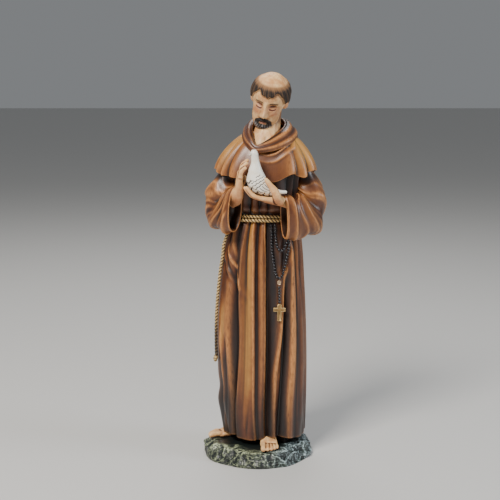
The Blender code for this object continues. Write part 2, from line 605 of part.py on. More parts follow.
def hide_as_tool(obj, group=None):
    """Marks an object as a construction tool, which isn't part of the statue."""
    obj.hide_render = True
    obj.display_type = "WIRE"
    if group:
        bpy.context.scene.collection.objects.unlink(obj)
        group.objects.link(obj)


def boolean(obj, operation, tool):
    """Joins or cuts an object by a tool, which is one object or a collection."""
    modifier = obj.modifiers.new(operation.title(), "BOOLEAN")
    modifier.operation = operation
    modifier.solver = "EXACT"
    if isinstance(tool, bpy.types.Collection):
        modifier.operand_type = "COLLECTION"
        modifier.collection = tool
    else:
        modifier.object = tool


def dove_sections():
    """The dove's rows as centre, half-width vector and half-depth vector."""
    along = np.gradient(np.array([row[0] for row in DOVE_ROWS]), axis=0)
    along /= np.linalg.norm(along, axis=1, keepdims=True)
    rows = []
    for (centre, wide, deep), way in zip(DOVE_ROWS, along):
        back = np.array((0, 1.0, 0)) - way * way[1]
        back /= np.linalg.norm(back)
        rows.append((np.array(centre), np.cross(way, back) * wide, back * deep))
    return rows


def clear_of_dove(points, more):
    """Moves points that would lie in the dove out to its surface, and to a clearance and more beyond it."""
    grow = DOVE_CLEARANCE / PART + more
    knots = np.arange(len(DOVE_ROWS))
    fine = np.linspace(0, len(DOVE_ROWS) - 1, 121)
    centre, side, back = (soft_steps(fine, knots, part) for part in map(np.array, zip(*dove_sections())))
    wide, deep = np.linalg.norm(side, axis=1), np.linalg.norm(back, axis=1)
    flat = points.reshape(-1, 3)
    nearest = np.linalg.norm(flat[:, None] - centre[None], axis=2).argmin(axis=1)
    off = flat - centre[nearest]
    grow = grow + 0 * nearest
    across = (off * side[nearest]).sum(axis=1) / wide[nearest]
    behind = (off * back[nearest]).sum(axis=1) / deep[nearest]
    share = np.hypot(across / (wide[nearest] + grow), behind / (deep[nearest] + grow + WING_THICKNESS))
    moved = centre[nearest] + off / np.maximum(share, 0.05)[:, None]
    return np.where((share < 1)[:, None], moved, flat).reshape(points.shape)


def build_dove():
    """The dove, one casting held between the hands."""
    dove = shell("dove", figure_metres(limb_rings(dove_sections(), 12, 2.0)))
    beak = shell("tool_beak", figure_metres(tube_rings(BEAK_PATH, BEAK_RADII, 5)))
    hide_as_tool(beak)
    boolean(dove, "UNION", beak)
    for side in (-1, 1):
        wing = [
            ((-4.2, -30.6 + 3.2 * side, 183.0), (1.2, 0, 0.6), (0, 0.9 * side, 0)),
            ((-2.6, -30.4 + 4.1 * side, 178.0), (4.0, 0, 2.4), (0, 1.5 * side, 0)),
            ((1.6, -30.2 + 3.7 * side, 174.2), (3.0, 0, 3.0), (0, 1.4 * side, 0)),
            ((7.4, -29.4 + 2.6 * side, 172.0), (0.8, 0, 1.6), (0, 1.0 * side, 0)),
        ]
        piece = shell(f"tool_wing_{side}", figure_metres(limb_rings(wing, 8, 2.0)))
        hide_as_tool(piece)
        boolean(dove, "UNION", piece)
    paint(dove, "dove_paint", (0.86, 0.83, 0.74), 0.5)
    return dove


def build_figure():
    """The friar, one casting: robe, cape, hood, sleeves, head, hands and feet joined."""
    group = bpy.data.collections.new("figure_pieces")
    bpy.context.scene.collection.children.link(group)
    group.hide_render = True
    figure = shell("friar_figure", figure_metres(robe_rings()))
    pieces = {
        "cape": cape_rings(),
        "sleeve_right": sleeve_rings(RIGHT_SLEEVE),
        "sleeve_left": sleeve_rings(LEFT_SLEEVE),
        "head": head_rings(),
        "ear_right": ear_rings(-1),
        "ear_left": ear_rings(1),
        "palm_right": limb_rings(RIGHT_PALM, 8),
        "palm_left": limb_rings(LEFT_PALM, 8),
        "foot_left": foot_rings(*LEFT_FOOT),
        "foot_right": foot_rings(*RIGHT_FOOT),
    }
    neck = [
        ((0.5, -5.0, 190.0), (10.5, 0, 0), (0, 10.5, 0)),
        ((1.0, -6.2, 199.5), (10.5, 0, 0), (0, 11.6, 0)),
        ((3.2, -5.0, 208.0), (8.6, 0, 0), (0, 9.4, 0)),
        ((5.0, -3.6, 216.0), (7.3, 0, 0), (0, 7.8, 0)),
        ((6.0, -4.6, 224.0), (7.0, 0, 0), (0, 7.4, 0)),
    ]
    pieces["neck"] = limb_rings(neck, 12, 2.0)
    hood = [
        ((4.6, 10.0, 213.5), (11.0, 0, 0), (0, 2.6, 1.4)),
        ((4.6, 14.6, 207.0), (14.2, 0, 0), (0, 4.4, 2.6)),
        ((4.6, 17.8, 197.0), (14.4, 0, 0), (0, 5.6, 1.4)),
        ((4.6, 20.2, 186.0), (10.4, 0, 0), (0, 4.8, 0.4)),
        ((4.6, 21.2, 178.5), (4.8, 0, 0), (0, 3.0, 0)),
        ((4.6, 21.0, 174.6), (1.2, 0, 0), (0, 1.2, 0)),
    ]
    pieces["hood"] = limb_rings(hood, 12, 2.0)
    for name, fingers in (("right", RIGHT_FINGERS), ("left", LEFT_FINGERS)):
        for number, joints in enumerate(fingers):
            thumb = number == len(fingers) - 1
            radius = THUMB_RADII[name] if thumb else FINGER_RADIUS
            places = (0, 0.5, 1.0, 1.4, 1.75, 2.0) if thumb else (0, 1.0, 1.75, 2.0)
            pieces[f"finger_{name}_{number}"] = finger_rings(joints, radius, FINGER_TIP_RADIUS, places)
    for name, foot, side in (("left", LEFT_FOOT, -1), ("right", RIGHT_FOOT, 1)):
        for number in range(1, 6):
            pieces[f"toe_{name}_{number}"] = toe_rings(*foot, side * number)
    for name, rings in pieces.items():
        if "palm" in name:
            rings = clear_of_dove(rings, PALM_SLACK)
        hide_as_tool(shell(f"tool_{name}", figure_metres(rings)), group)
    hide_as_tool(shell("tool_collar", figure_metres(collar_rings()), round_rings=True), group)
    boolean(figure, "UNION", group)
    paint(figure, "robe_paint", (0.30, 0.15, 0.075), 0.55)
    return figure


def build_base():
    """The rock base: an uneven oval slab with a flat underside and a level place for the figure."""
    angle = np.linspace(0, 2 * math.pi, BASE_COLUMNS, endpoint=False)
    x, y = oval(angle, 2.15)
    half = np.array([BASE_WIDTH / 2, BASE_DEPTH / 2, 0])
    flat = np.stack([x, y, 0 * x], axis=-1)
    rings = []
    for number, (share, inset, rough, sink) in enumerate(BASE_LEVELS):
        wander = np.array([noise.noise(Vector((4.5 * a, 4.5 * b, 1.1 * number))) for a, b, _ in flat])
        dip = np.array([noise.noise(Vector((2.1 * a, 2.1 * b, 7.5))) for a, b, _ in flat])
        slope = np.zeros(BASE_COLUMNS)
        for middle, size, breadth in BASE_SLOPES:
            slope += size * hump(turned_angle(np.degrees(angle), middle), 0, breadth)
        slope *= (0.35 + 0.65 * share**1.5) * min(1.0, rough)
        spread = 1 - (inset + slope + rough * (0.3 - wander)) * BASE_ROUGHNESS / (BASE_WIDTH / 2)
        ring = flat * half * spread[:, None]
        ring[:, 2] = BASE_THICKNESS * share - sink * BASE_ROUGHNESS * (0.6 + np.clip(dip, -0.5, 0.6))
        rings.append(ring)
    base = shell("rock_base", np.array(rings))
    paint(base, "rock_paint", (0.07, 0.09, 0.08), 0.6)
    base.data.shade_flat()
    return base


class Surface:
    """The finished figure, which tells where things that lie on it touch."""

    def __init__(self, obj):
        self.tree = BVHTree.FromObject(obj, bpy.context.evaluated_depsgraph_get())

    def nearest(self, starts, way):
        """The first distance along a way at which one of some rays meets the figure."""
        hits = [self.tree.ray_cast(Vector(start), Vector(way))[3] for start in starts]
        return min([hit for hit in hits if hit is not None], default=None)

    def front(self, x, z, reach_x, reach_z):
        """The foremost y of the figure near x and z."""
        spots = [(x + i * reach_x, -0.5, z + j * reach_z) for i in (-1, -0.5, 0, 0.5, 1) for j in (-1, 0, 1)]
        return self.nearest(spots, (0, 1, 0)) - 0.5


def robe_reach(degrees, z, breadth):
    """The farthest that the robe reaches from its axis at a height, within a breadth of this angle."""
    columns = np.arange(len(ROBE_VALLEYS) * REACH_COLUMNS) / REACH_COLUMNS
    ring = robe_surface(columns, z + np.array([-2.0, 0.0, 2.0])).reshape(-1, 3)
    x, y = ring[:, 0] - robe_axis(z), ring[:, 1] - ROBE_CENTRE_Y
    near = np.abs(turned_angle(np.degrees(np.arctan2(x, -y)), degrees)) <= breadth
    return np.hypot(x, y)[near].max()


def robe_axis(z):
    """The robe's middle at a height in parts."""
    return float(soft_steps(z, ROBE_HEIGHTS, ROBE_CENTRES_X))


def cord_place(degrees, z, lift, breadth):
    """A place on the cord's middle line, in metres, at an angle and a height in parts."""
    distance = robe_reach(degrees, z, breadth) + lift / PART
    a = math.radians(degrees)
    return figure_metres((robe_axis(z) + distance * math.sin(a), ROBE_CENTRE_Y - distance * math.cos(a), z))


def build_cord():
    """The cord in one length: twice round the waist, then down the right side to its knotted end."""
    lift = CORD_DIAMETER / 2 + CORD_CLEARANCE
    rise = (CORD_DIAMETER + CORD_TURN_GAP) / PART
    path = []
    slack = lift + (1 / math.cos(math.radians(CORD_STEP / 2)) - 1) * WAIST_RADIUS * PART
    waist = DRAWN_WAIST + 2
    for turned in np.arange(0, 720, CORD_STEP):
        falls = np.clip((turned - 250) / 80, 0, 1) + np.clip((turned - 610) / 70, 0, 1)
        path.append(cord_place(CORD_START + turned, waist + rise * (0.5 - falls), slack, 0.8 * CORD_STEP))
    for share in np.linspace(0, 1, CORD_HANGING_STEPS):
        z = waist - 1.7 * rise - CORD_END_LENGTH / PART * share
        path.append(cord_place(CORD_HANG, z, lift, 5))
    end = path[-1]
    path += [end + np.array([-0.3 * CORD_DIAMETER, 0, -share * CORD_KNOT_LENGTH]) for share in (0.5, 1.0)]
    radii = np.full(len(path), CORD_DIAMETER / 2)
    radii[-2:] = 0.75 * CORD_DIAMETER, 0.3 * CORD_DIAMETER
    cord = shell("waist_cord", tube_rings(path, radii, 6))
    paint(cord, "cord_paint", (0.50, 0.36, 0.15), 0.5)


def hung_path(surface, places):
    """A smooth path on the figure's front over places (x and z), in half steps of the beads' pitch."""
    fine = soft_steps(np.linspace(0, len(places) - 1, 40 * len(places)), range(len(places)), places)
    run = np.concatenate([[0], np.cumsum(np.linalg.norm(np.diff(fine, axis=0), axis=1))])
    steps = max(2, round(run[-1] / BEAD_PITCH))
    even = np.linspace(0, run[-1], 2 * steps + 1)
    x, z = (np.interp(even, run, fine[:, k]) for k in (0, 1))
    near = BEAD_DIAMETER / 2 + BEAD_CLEARANCE
    y = np.array([surface.front(a, b, near, 0.8 * BEAD_PITCH) for a, b in zip(x, z)])
    low = np.minimum(y, np.minimum(np.roll(y, 1), np.roll(y, -1)))
    low[0], low[-1] = y[0], y[-1]
    smooth = (np.roll(low, 1) + low + np.roll(low, -1)) / 3
    smooth[0], smooth[-1] = low[0], low[-1]
    return np.stack([x, np.minimum(smooth, y) - near, z], axis=-1)


def build_beads(surface, name, places):
    """A string of touching beads, as one turned string: full at each bead and thin between them."""
    path = hung_path(surface, np.array(places))
    radii = np.where(np.arange(len(path)) % 2, 1.0, 0.42) * BEAD_DIAMETER / 2
    beads = shell(name, tube_rings(path, radii, 5))
    paint(beads, f"{name}_paint", (0.012, 0.010, 0.011), 0.25)


def prism(name, outline, middle, thickness, colour):
    """A flat brass piece that hangs on the robe's front, from its outline in x and z."""
    outline = np.array(outline)
    flat = np.stack([outline[:, 0], 0 * outline[:, 0], outline[:, 1]], axis=-1) + middle
    depth = np.array([0, thickness / 2, 0])
    mesh = bpy.data.meshes.new(name)
    count = len(flat)
    points = [tuple(p) for p in np.concatenate([flat - depth, flat + depth])]
    sides = [(k, (k + 1) % count, (k + 1) % count + count, k + count) for k in range(count)]
    mesh.from_pydata(points, [], sides + [tuple(range(count)), tuple(range(2 * count - 1, count - 1, -1))])
    settle_normals(mesh)
    obj = bpy.data.objects.new(name, mesh)
    bpy.context.scene.collection.objects.link(obj)
    paint(obj, f"{name}_metal", colour, 0.35, 0.8)
    return obj


def build_rosary(surface):
    """The rosary that hangs from the cord: its loop, its centre medal, its short string and its cross."""
    build_beads(surface, "rosary_loop", [figure_metres((x, 0, z))[[0, 2]] for x, z in ROSARY_LOOP])
    lie = MEDAL_THICKNESS / 2 + BEAD_CLEARANCE
    x, _, z = figure_metres((MEDAL_PLACE[0], 0, MEDAL_PLACE[1]))
    half = MEDAL_DIAMETER / 2
    middle = np.array([x, surface.front(x, z, half, half) - lie, z])
    turn = np.linspace(0, 2 * math.pi, 10, endpoint=False)
    outline = np.stack([0.85 * half * np.sin(turn), half * np.cos(turn)], axis=-1)
    prism("rosary_medal", outline, middle, MEDAL_THICKNESS, (0.55, 0.38, 0.25))
    top = z - half - SEAT_GAP - 0.5 * BEAD_DIAMETER * 0.42
    string_end = top - PENDANT_LENGTH
    cross_x = figure_metres((CROSS_X, 0, 0))[0]
    build_beads(surface, "rosary_string", np.linspace((x, top), (cross_x, string_end), 3))
    z = string_end - SEAT_GAP - 0.1 * BEAD_DIAMETER - CROSS_HEIGHT / 2
    bar, wide, tall = CROSS_BAR / 2, CROSS_WIDTH / 2, CROSS_HEIGHT / 2
    high = tall * CROSS_ARM_SHARE
    arm = [(bar, high + bar), (wide, high + bar), (wide, high - bar), (bar, high - bar)]
    quarter = [(bar, tall), *arm, (bar, -tall)]
    outline = quarter + [(-a, b) for a, b in quarter[::-1]]
    lie = CROSS_THICKNESS / 2 + BEAD_CLEARANCE
    shares = (-0.8, -0.4, 0, 0.4, 0.8)
    y = min(surface.front(cross_x, z + share * tall, wide, 0.2 * tall) for share in shares) - lie
    prism("rosary_cross", outline, np.array([cross_x, y, z]), CROSS_THICKNESS, (0.42, 0.25, 0.10))


def main():
    """Builds the statue."""
    for obj in list(bpy.data.objects):
        bpy.data.objects.remove(obj)
    build_base()
    figure = build_figure()
    build_dove()
    surface = Surface(figure)
    build_cord()
    build_rosary(surface)


main()
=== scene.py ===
"""Looks of a painted cast-resin friar who cradles a dove, on a rock base.

Every piece is a surface worked out on a grid of two parameters. The figure is drawn in parts, which are
millimetres from its soles, and is moved to metres when its mesh is made. Left and right are the friar's own.
"""

import itertools
import logging
import math
from dataclasses import dataclass
from enum import Enum
from typing import ClassVar

import bmesh
import bpy
import numpy as np
from mathutils import Matrix, Vector, noise
from mathutils.bvhtree import BVHTree


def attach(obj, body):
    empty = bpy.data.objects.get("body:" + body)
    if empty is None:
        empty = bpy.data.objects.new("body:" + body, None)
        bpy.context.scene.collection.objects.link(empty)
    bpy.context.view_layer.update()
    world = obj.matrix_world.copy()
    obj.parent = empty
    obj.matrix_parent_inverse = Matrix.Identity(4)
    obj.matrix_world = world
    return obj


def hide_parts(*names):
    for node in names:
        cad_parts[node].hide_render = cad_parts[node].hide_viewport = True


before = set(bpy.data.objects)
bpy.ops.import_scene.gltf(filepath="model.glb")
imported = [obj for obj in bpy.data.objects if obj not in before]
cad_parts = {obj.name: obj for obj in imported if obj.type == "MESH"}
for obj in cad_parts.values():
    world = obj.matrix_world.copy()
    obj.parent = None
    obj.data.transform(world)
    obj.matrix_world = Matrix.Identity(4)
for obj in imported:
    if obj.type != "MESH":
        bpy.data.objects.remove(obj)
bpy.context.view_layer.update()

LOG = logging.getLogger("statue")

PART = 0.001
FIGURE_PLACE = (0.0028, 0.003)
BASE_THICKNESS = 0.010
SEAT_GAP = 0.0003
COAT_ROUGHNESS = 0.28
# Smoothing passes that leave a merged piece's broad form, and the relief in parts that is fully dry-brushed
FORM_PASSES = 24
FULL_RIDGE = 0.30

Grid = np.ndarray
Piece = bpy.types.Object
Material = bpy.types.Material
Socket = bpy.types.NodeSocket
Colour = tuple[float, float, float]
Row = tuple[float, ...]
Rows = tuple[Row, ...]
Pairs = tuple[tuple[float, float], ...]
Paint = dict[str, Grid]
# A middle and two half-widths, each a vector
Section = tuple[Row, Row, Row]


# Curves and small functions


def soft_steps(at: Grid, knots: Grid, values: Grid) -> Grid:
    """Values on a curve that passes each knot with the slope of its two neighbours (cubic Hermite).

    Args:
        at: places where the values are wanted.
        knots: rising places of the given values.
        values: one value, or one row of values, for each knot.

    Returns:
        The values at those places.
    """
    at, knots, values = np.asarray(at, float), np.asarray(knots, float), np.asarray(values, float)
    slopes = np.gradient(values, knots, axis=0)
    k = np.clip(np.searchsorted(knots, at, side="right") - 1, 0, len(knots) - 2)
    span = knots[k + 1] - knots[k]
    t = unit((at - knots[k]) / span)
    more = (...,) + (None,) * (values.ndim - 1)
    t, span = t[more], span[more]
    start = (2 * t**3 - 3 * t**2 + 1) * values[k] + (t**3 - 2 * t**2 + t) * span * slopes[k]
    return start + (3 * t**2 - 2 * t**3) * values[k + 1] + (t**3 - t**2) * span * slopes[k + 1]


def sections(rows: tuple[tuple[object, ...], ...], at: Grid) -> tuple[Grid, ...]:
    """Each column of a table as a soft curve, with an empty axis where the angles of a ring go.

    Args:
        rows: the table, such as a middle and two half-widths in each row.
        at: places that count its rows.

    Returns:
        One array for each column.
    """
    knots = range(len(rows))
    return tuple(soft_steps(at, knots, [row[k] for row in rows])[:, None] for k in range(len(rows[0])))


def smooth_path(places: Grid, count: int) -> Grid:
    """A soft curve through places, at this many even steps."""
    return soft_steps(np.linspace(0, len(places) - 1, count), range(len(places)), places)


def run_along(path: Grid) -> Grid:
    """Distance along a path from its start to each of its points."""
    return np.concatenate([[0], np.cumsum(np.linalg.norm(np.diff(path, axis=0), axis=1))])


def rounded(at: Grid, start: float, length: float, most: float) -> Grid:
    """Share of a tube's radius where its end closes like a ball: sqrt(1 - t^2).

    Args:
        at: places along the tube.
        start: where the end begins.
        length: how long the end is.
        most: the largest t, which leaves a small flat tip.

    Returns:
        The share at each place.
    """
    return np.sqrt(np.maximum(1 - np.clip((at - start) / length, 0, most) ** 2, 0))


def unit(x: Grid) -> Grid:
    """Numbers kept from 0 to 1."""
    return np.clip(x, 0, 1)


def together(*parts: object) -> Grid:
    """Arrays spread over one shape and joined along a new last axis, such as x, y and z."""
    return np.stack(np.broadcast_arrays(*parts), axis=-1)


def directed(vectors: Grid) -> Grid:
    """The same directions with a length of one."""
    return vectors / np.linalg.norm(vectors, axis=-1, keepdims=True)


def ring_angles(count: int, start: float = 0.0) -> Grid:
    """Even angles round a full turn in radians, without a second first one."""
    return np.linspace(start, start + 2 * math.pi, count, endpoint=False)


def hump(x: Grid, middle: float, width: float) -> Grid:
    """A bell of height one: exp(-((x - middle) / width) squared)."""
    return np.exp(-(((x - middle) / width) ** 2))


def rise(x: Grid, low: float, high: float) -> Grid:
    """A smooth step from nothing at low to one at high (3t^2 - 2t^3)."""
    t = unit((x - low) / (high - low))
    return t * t * (3 - 2 * t)


def turned(a: Grid, b: float) -> Grid:
    """The angle from b to a in degrees, from -180 to 180."""
    return (a - b + 180) % 360 - 180


def oval(angle: Grid, squareness: float) -> tuple[Grid, Grid]:
    """Unit outline of a squared oval: |x|^n + |y|^n = 1, at angles measured from the front.

    Args:
        angle: angles in radians, positive to the friar's left.
        squareness: the power n; 2 is a circle.

    Returns:
        x to the friar's left, and y to the back.
    """
    s, c = np.sin(angle), np.cos(angle)
    size = (np.abs(s) ** squareness + np.abs(c) ** squareness) ** (-1 / squareness)
    return s * size, -c * size


def grain(points: Grid, scale: float, seed: int = 0) -> Grid:
    """Smooth lattice noise from -1 to 1: each cell's eight corner values, blended by a cubic step.

    Args:
        points: places, with three numbers along the last axis.
        scale: size of one lattice cell, in the unit of the places.
        seed: chooses another pattern.

    Returns:
        One value for each place.
    """
    place = np.asarray(points, float) / scale
    cell = np.floor(place).astype(np.int64)
    part = place - cell
    part = part * part * (3 - 2 * part)
    total = np.zeros(place.shape[:-1])
    for corner in itertools.product((0, 1), repeat=3):
        k = cell + np.array(corner)
        h = (k[..., 0] * 374761393 + k[..., 1] * 668265263 + k[..., 2] * 1274126177 + seed * 97531) & 0xFFFFFFFF
        h = ((h ^ (h >> 13)) * 1274126177) & 0xFFFFFFFF
        h = (h ^ (h >> 16)) & 0xFFFF
        weight = np.prod(np.where(np.array(corner) == 1, part, 1 - part), axis=-1)
        total += weight * (h / 32767.5 - 1)
    return total


def rough(points: Grid, scale: float, layers: int = 4, seed: int = 0) -> Grid:
    """Layered lattice noise: each layer is half as large and about half as strong as the one before."""
    total = sum(0.55**k * grain(points, scale * 0.5**k, seed + 7 * k) for k in range(layers))
    return total / sum(0.55**k for k in range(layers))


def spread(values: Grid, rows: float, columns: float) -> Grid:
    """Blurs a grid twice by a box that wraps round its columns and stops at its first and last row.

    Args:
        values: the grid, rows by columns by any more numbers.
        rows: the box's half-size in rows.
        columns: the box's half-size in columns.

    Returns:
        The blurred grid.
    """
    for _ in range(2):
        for axis, half, mode in ((0, round(rows), "edge"), (1, round(columns), "wrap")):
            half = min(half, values.shape[axis] // 2 - 1)
            if half < 1:
                continue
            pad = [(0, 0)] * values.ndim
            pad[axis] = (half + 1, half)
            total = np.cumsum(np.pad(values, pad, mode=mode), axis=axis)
            top = np.take(total, range(2 * half + 1, total.shape[axis]), axis=axis)
            values = (top - np.take(total, range(0, total.shape[axis] - 2 * half - 1), axis=axis)) / (2 * half + 1)
    return values


def outward(points: Grid) -> Grid:
    """Unit normals of a closed grid: the cross product of its two slopes, turned away from each row's middle.

    Args:
        points: rows by columns by three.

    Returns:
        One normal for each point.
    """
    along = np.gradient(points, axis=0)
    round_it = np.roll(points, -1, axis=1) - np.roll(points, 1, axis=1)
    normal = np.cross(round_it, along)
    normal /= np.maximum(np.linalg.norm(normal, axis=-1, keepdims=True), 1e-9)
    away = points - points.mean(axis=1, keepdims=True)
    return normal if (normal * away).sum() > 0 else -normal


def standing_out(points: Grid, radius: float) -> Grid:
    """How far each point of a grid stands out from its surroundings, in the grid's own unit.

    Args:
        points: rows by columns by three.
        radius: how far the surroundings reach.

    Returns:
        (point - blurred point) . normal, less its middle value: above nothing on ridges.
    """
    row_step = np.linalg.norm(np.diff(points, axis=0), axis=-1).mean()
    column_step = np.linalg.norm(np.roll(points, -1, axis=1) - points, axis=-1).mean()
    smooth = spread(points, radius / row_step, radius / column_step)
    out = ((points - smooth) * outward(points)).sum(axis=-1)
    return out - np.median(out)


def fold_paint(points: Grid, fine: float = 1.0, broad: float = 4.0) -> Paint:
    """Where a brush would leave light paint on ridges, and where a wash and painted shade darken the hollows.

    Args:
        points: the grid, in parts.
        fine: reach of the sharp edges.
        broad: reach of the folds.

    Returns:
        ridge, from 0 to 1, and wash_and_shade, from 0 to 1: the wash with painted shade in the hollows.
    """
    sharp, wide = standing_out(points, fine), standing_out(points, broad)
    ridge = unit(sharp / 0.15) * 0.8 + unit(wide / 1.1) * 0.4
    wash_and_shade = unit(-sharp / 0.16) * 0.35 + unit(-wide / 1.0) * 0.85
    return {"ridge": unit(ridge), "wash_and_shade": unit(wash_and_shade)}


def figure_metres(points: Grid) -> Grid:
    """Points in parts, as metres: the figure's soles are on the base."""
    return np.asarray(points, float) * PART + np.array([*FIGURE_PLACE, BASE_THICKNESS + SEAT_GAP])


# Meshes


def grid_faces(rows: int, columns: int, ring: bool) -> Grid:
    """Quads of a grid that closes round its columns, and round its rows too if it is a ring.

    Args:
        rows: number of rows.
        columns: number of columns.
        ring: whether the last row joins the first.

    Returns:
        Four vertex numbers for each quad.
    """
    r = np.arange(rows if ring else rows - 1)[:, None]
    c = np.arange(columns)[None, :]
    up, right = (r + 1) % rows, (c + 1) % columns
    quads = together(r * columns + c, r * columns + right, up * columns + right, up * columns + c)
    return quads.reshape(-1, 4)


def more_rows(paint: Paint, added: dict[str, Row]) -> Paint:
    """Paint of a grid with rows added at its end, one value to a row.

    Args:
        paint: the grid's paint.
        added: the values of the new rows, by attribute name.

    Returns:
        The paint of all the rows.
    """
    wide = next(iter(paint.values())).shape[1]
    rows = {key: np.repeat(np.array(added[key], float)[:, None], wide, axis=1) for key in paint}
    return {key: np.concatenate([values, rows[key]]) for key, values in paint.items()}


def linked(name: str, data: bpy.types.ID) -> Piece:
    """A new object of this data, linked to the scene.

    Args:
        name: the object's name.
        data: its mesh, light or camera.

    Returns:
        The object.
    """
    obj = bpy.data.objects.new(name, data)
    bpy.context.scene.collection.objects.link(obj)
    return obj


def new_mesh(name: str, points: Grid, faces: list[Grid], paint: Paint) -> Piece:
    """A mesh object from arrays, turned outwards and shaded smooth, with its paint as attributes.

    Args:
        name: the object's name.
        points: vertices in metres.
        faces: arrays of vertex numbers, each with its own number of corners.
        paint: one value for each vertex, by attribute name.

    Returns:
        The object, linked to the scene.
    """
    volume = 0.0
    for array in faces:
        for k in range(1, array.shape[1] - 1):
            a, b, c = points[array[:, 0]], points[array[:, k]], points[array[:, k + 1]]
            volume += np.einsum("ij,ij->i", a, np.cross(b, c)).sum()
    if volume < 0:
        faces = [array[:, ::-1] for array in faces]
    mesh = bpy.data.meshes.new(name)
    corners = np.concatenate([array.reshape(-1) for array in faces]).astype(np.int32)
    sizes = np.concatenate([np.full(len(array), array.shape[1]) for array in faces])
    mesh.vertices.add(len(points))
    mesh.vertices.foreach_set("co", points.astype(np.float32).reshape(-1))
    mesh.loops.add(len(corners))
    mesh.loops.foreach_set("vertex_index", corners)
    mesh.polygons.add(len(sizes))
    mesh.polygons.foreach_set("loop_start", (np.cumsum(sizes) - sizes).astype(np.int32))
    mesh.update(calc_edges=True)
    for key, values in paint.items():
        attribute = mesh.attributes.new(key, "FLOAT", "POINT")
        attribute.data.foreach_set("value", np.asarray(values, np.float32).reshape(-1))
    mesh.shade_smooth()
    return linked(name, mesh)


def lay_skin(name: str, points: Grid, paint: Paint, ring: bool = False, metres: bool = False) -> Piece:
    """A closed skin over a grid: quads between its rows, and a fan over each end unless it is a ring.

    Args:
        name: the object's name.
        points: rows by columns by three, in parts.
        paint: attribute grids.
        ring: whether the last row joins the first.
        metres: whether the points are already in metres.

    Returns:
        The mesh object.
    """
    rows, columns = points.shape[:2]
    flat = points.reshape(-1, 3)
    faces = [grid_faces(rows, columns, ring)]
    values = {key: np.broadcast_to(v, (rows, columns)).reshape(-1) for key, v in paint.items()}
    if not ring:
        c = np.arange(columns)
        for pole, first in ((rows * columns, 0), (rows * columns + 1, (rows - 1) * columns)):
            a, b = first + c, first + (c + 1) % columns
            if first == 0:
                a, b = b, a
            faces.append(together(pole, a, b))
        flat = np.concatenate([flat, [points[0].mean(axis=0)], [points[-1].mean(axis=0)]])
        values = {k: np.concatenate([v, [v[:columns].mean()], [v[-columns:].mean()]]) for k, v in values.items()}
    return new_mesh(name, flat if metres else figure_metres(flat), faces, values)


def merged(name: str, pieces: list[Piece], voxel: float, passes: int, shade: float) -> Piece:
    """One smooth skin round several closed pieces: a voxel remesh, then a few smoothing passes.

    Args:
        name: the new object's name.
        pieces: overlapping closed pieces, which are removed.
        voxel: the voxel's size in metres.
        passes: how often each vertex moves halfway to its neighbours' middle.
        shade: depth of a hollow, in parts, that the wash and painted shade fill.

    Returns:
        The merged object, with its relief as ridge and as wash with painted shade, and painted shade on its
        undersides.
    """
    joined = bmesh.new()
    for piece in pieces:
        joined.from_mesh(piece.data)
        bpy.data.objects.remove(piece)
    mesh = bpy.data.meshes.new(name)
    joined.to_mesh(mesh)
    joined.free()
    obj = linked(name, mesh)
    modifier = obj.modifiers.new("Skin", "REMESH")
    modifier.mode = "VOXEL"
    modifier.voxel_size = voxel
    done = obj.evaluated_get(bpy.context.evaluated_depsgraph_get()).to_mesh()
    points = np.zeros(len(done.vertices) * 3)
    done.vertices.foreach_get("co", points)
    points = points.reshape(-1, 3)
    quads = np.zeros(len(done.polygons) * 4, np.int32)
    done.polygons.foreach_get("vertices", quads)
    quads = quads.reshape(-1, 4)
    obj.to_mesh_clear()
    bpy.data.objects.remove(obj)
    edges = np.concatenate([quads[:, [k, (k + 1) % 4]] for k in range(4)])
    points = evened(points, edges, passes)
    normal = np.zeros_like(points)
    flat = np.cross(points[quads[:, 2]] - points[quads[:, 0]], points[quads[:, 3]] - points[quads[:, 1]])
    for k in range(4):
        for axis in range(3):
            normal[:, axis] += np.bincount(quads[:, k], flat[:, axis], len(points))
    normal = directed(normal)
    out = ((points - evened(points, edges, FORM_PASSES)) * normal).sum(axis=1) / PART
    out -= np.median(out)
    # The wash with painted shade fills the hollows, such as between the fingers and the toes
    paint = {"ridge": unit(out / FULL_RIDGE), "wash_and_shade": unit(-out / shade)}
    # Painted shade on the parts that face down, carried with the blush
    paint["blush_and_underside_shade"] = 0.8 * rise(-normal[:, 2], -0.2, 0.9)
    return new_mesh(name, points, [quads], paint)


def evened(points: Grid, edges: Grid, passes: int) -> Grid:
    """Moves each vertex halfway to the middle of its neighbours, a number of times.

    Args:
        points: vertices.
        edges: pairs of neighbours, each pair both ways.
        passes: how often they move.

    Returns:
        The moved vertices.
    """
    count = np.bincount(edges[:, 0], minlength=len(points))[:, None]
    for _ in range(passes):
        middle = np.stack([np.bincount(edges[:, 0], points[edges[:, 1], k], len(points)) for k in range(3)], axis=1)
        points = 0.5 * points + 0.5 * middle / count
    return points


def present(obj: Piece, material: Material, node: str) -> None:
    """Dresses a piece, seats it on the statue and says which solid it stands for.

    Args:
        obj: the piece.
        material: its finish.
        node: the solid that it stands for.
    """
    obj.data.materials.clear()
    obj.data.materials.append(material)
    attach(obj, "root")
    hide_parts(node)
    LOG.info("%s: %d faces, for %s", obj.name, len(obj.data.polygons), node)


class SubAssembly:
    """Pieces of one finish that stand for one solid."""

    node: ClassVar[str] = "friar_figure"
    slot: ClassVar[str] = "robe_paint"

    def build(self) -> Piece:
        """Builds the main mesh."""
        raise NotImplementedError

    def pieces(self) -> list[Piece]:
        """Builds all the meshes, the main one first."""
        return [self.build()]

    def dress(self, material: Material) -> Piece:
        """Builds the pieces and gives each its finish and its solid.

        Args:
            material: their finish.

        Returns:
            The main piece.
        """
        made = self.pieces()
        for piece in made:
            present(piece, material, self.node)
        return made[0]


# Finishes


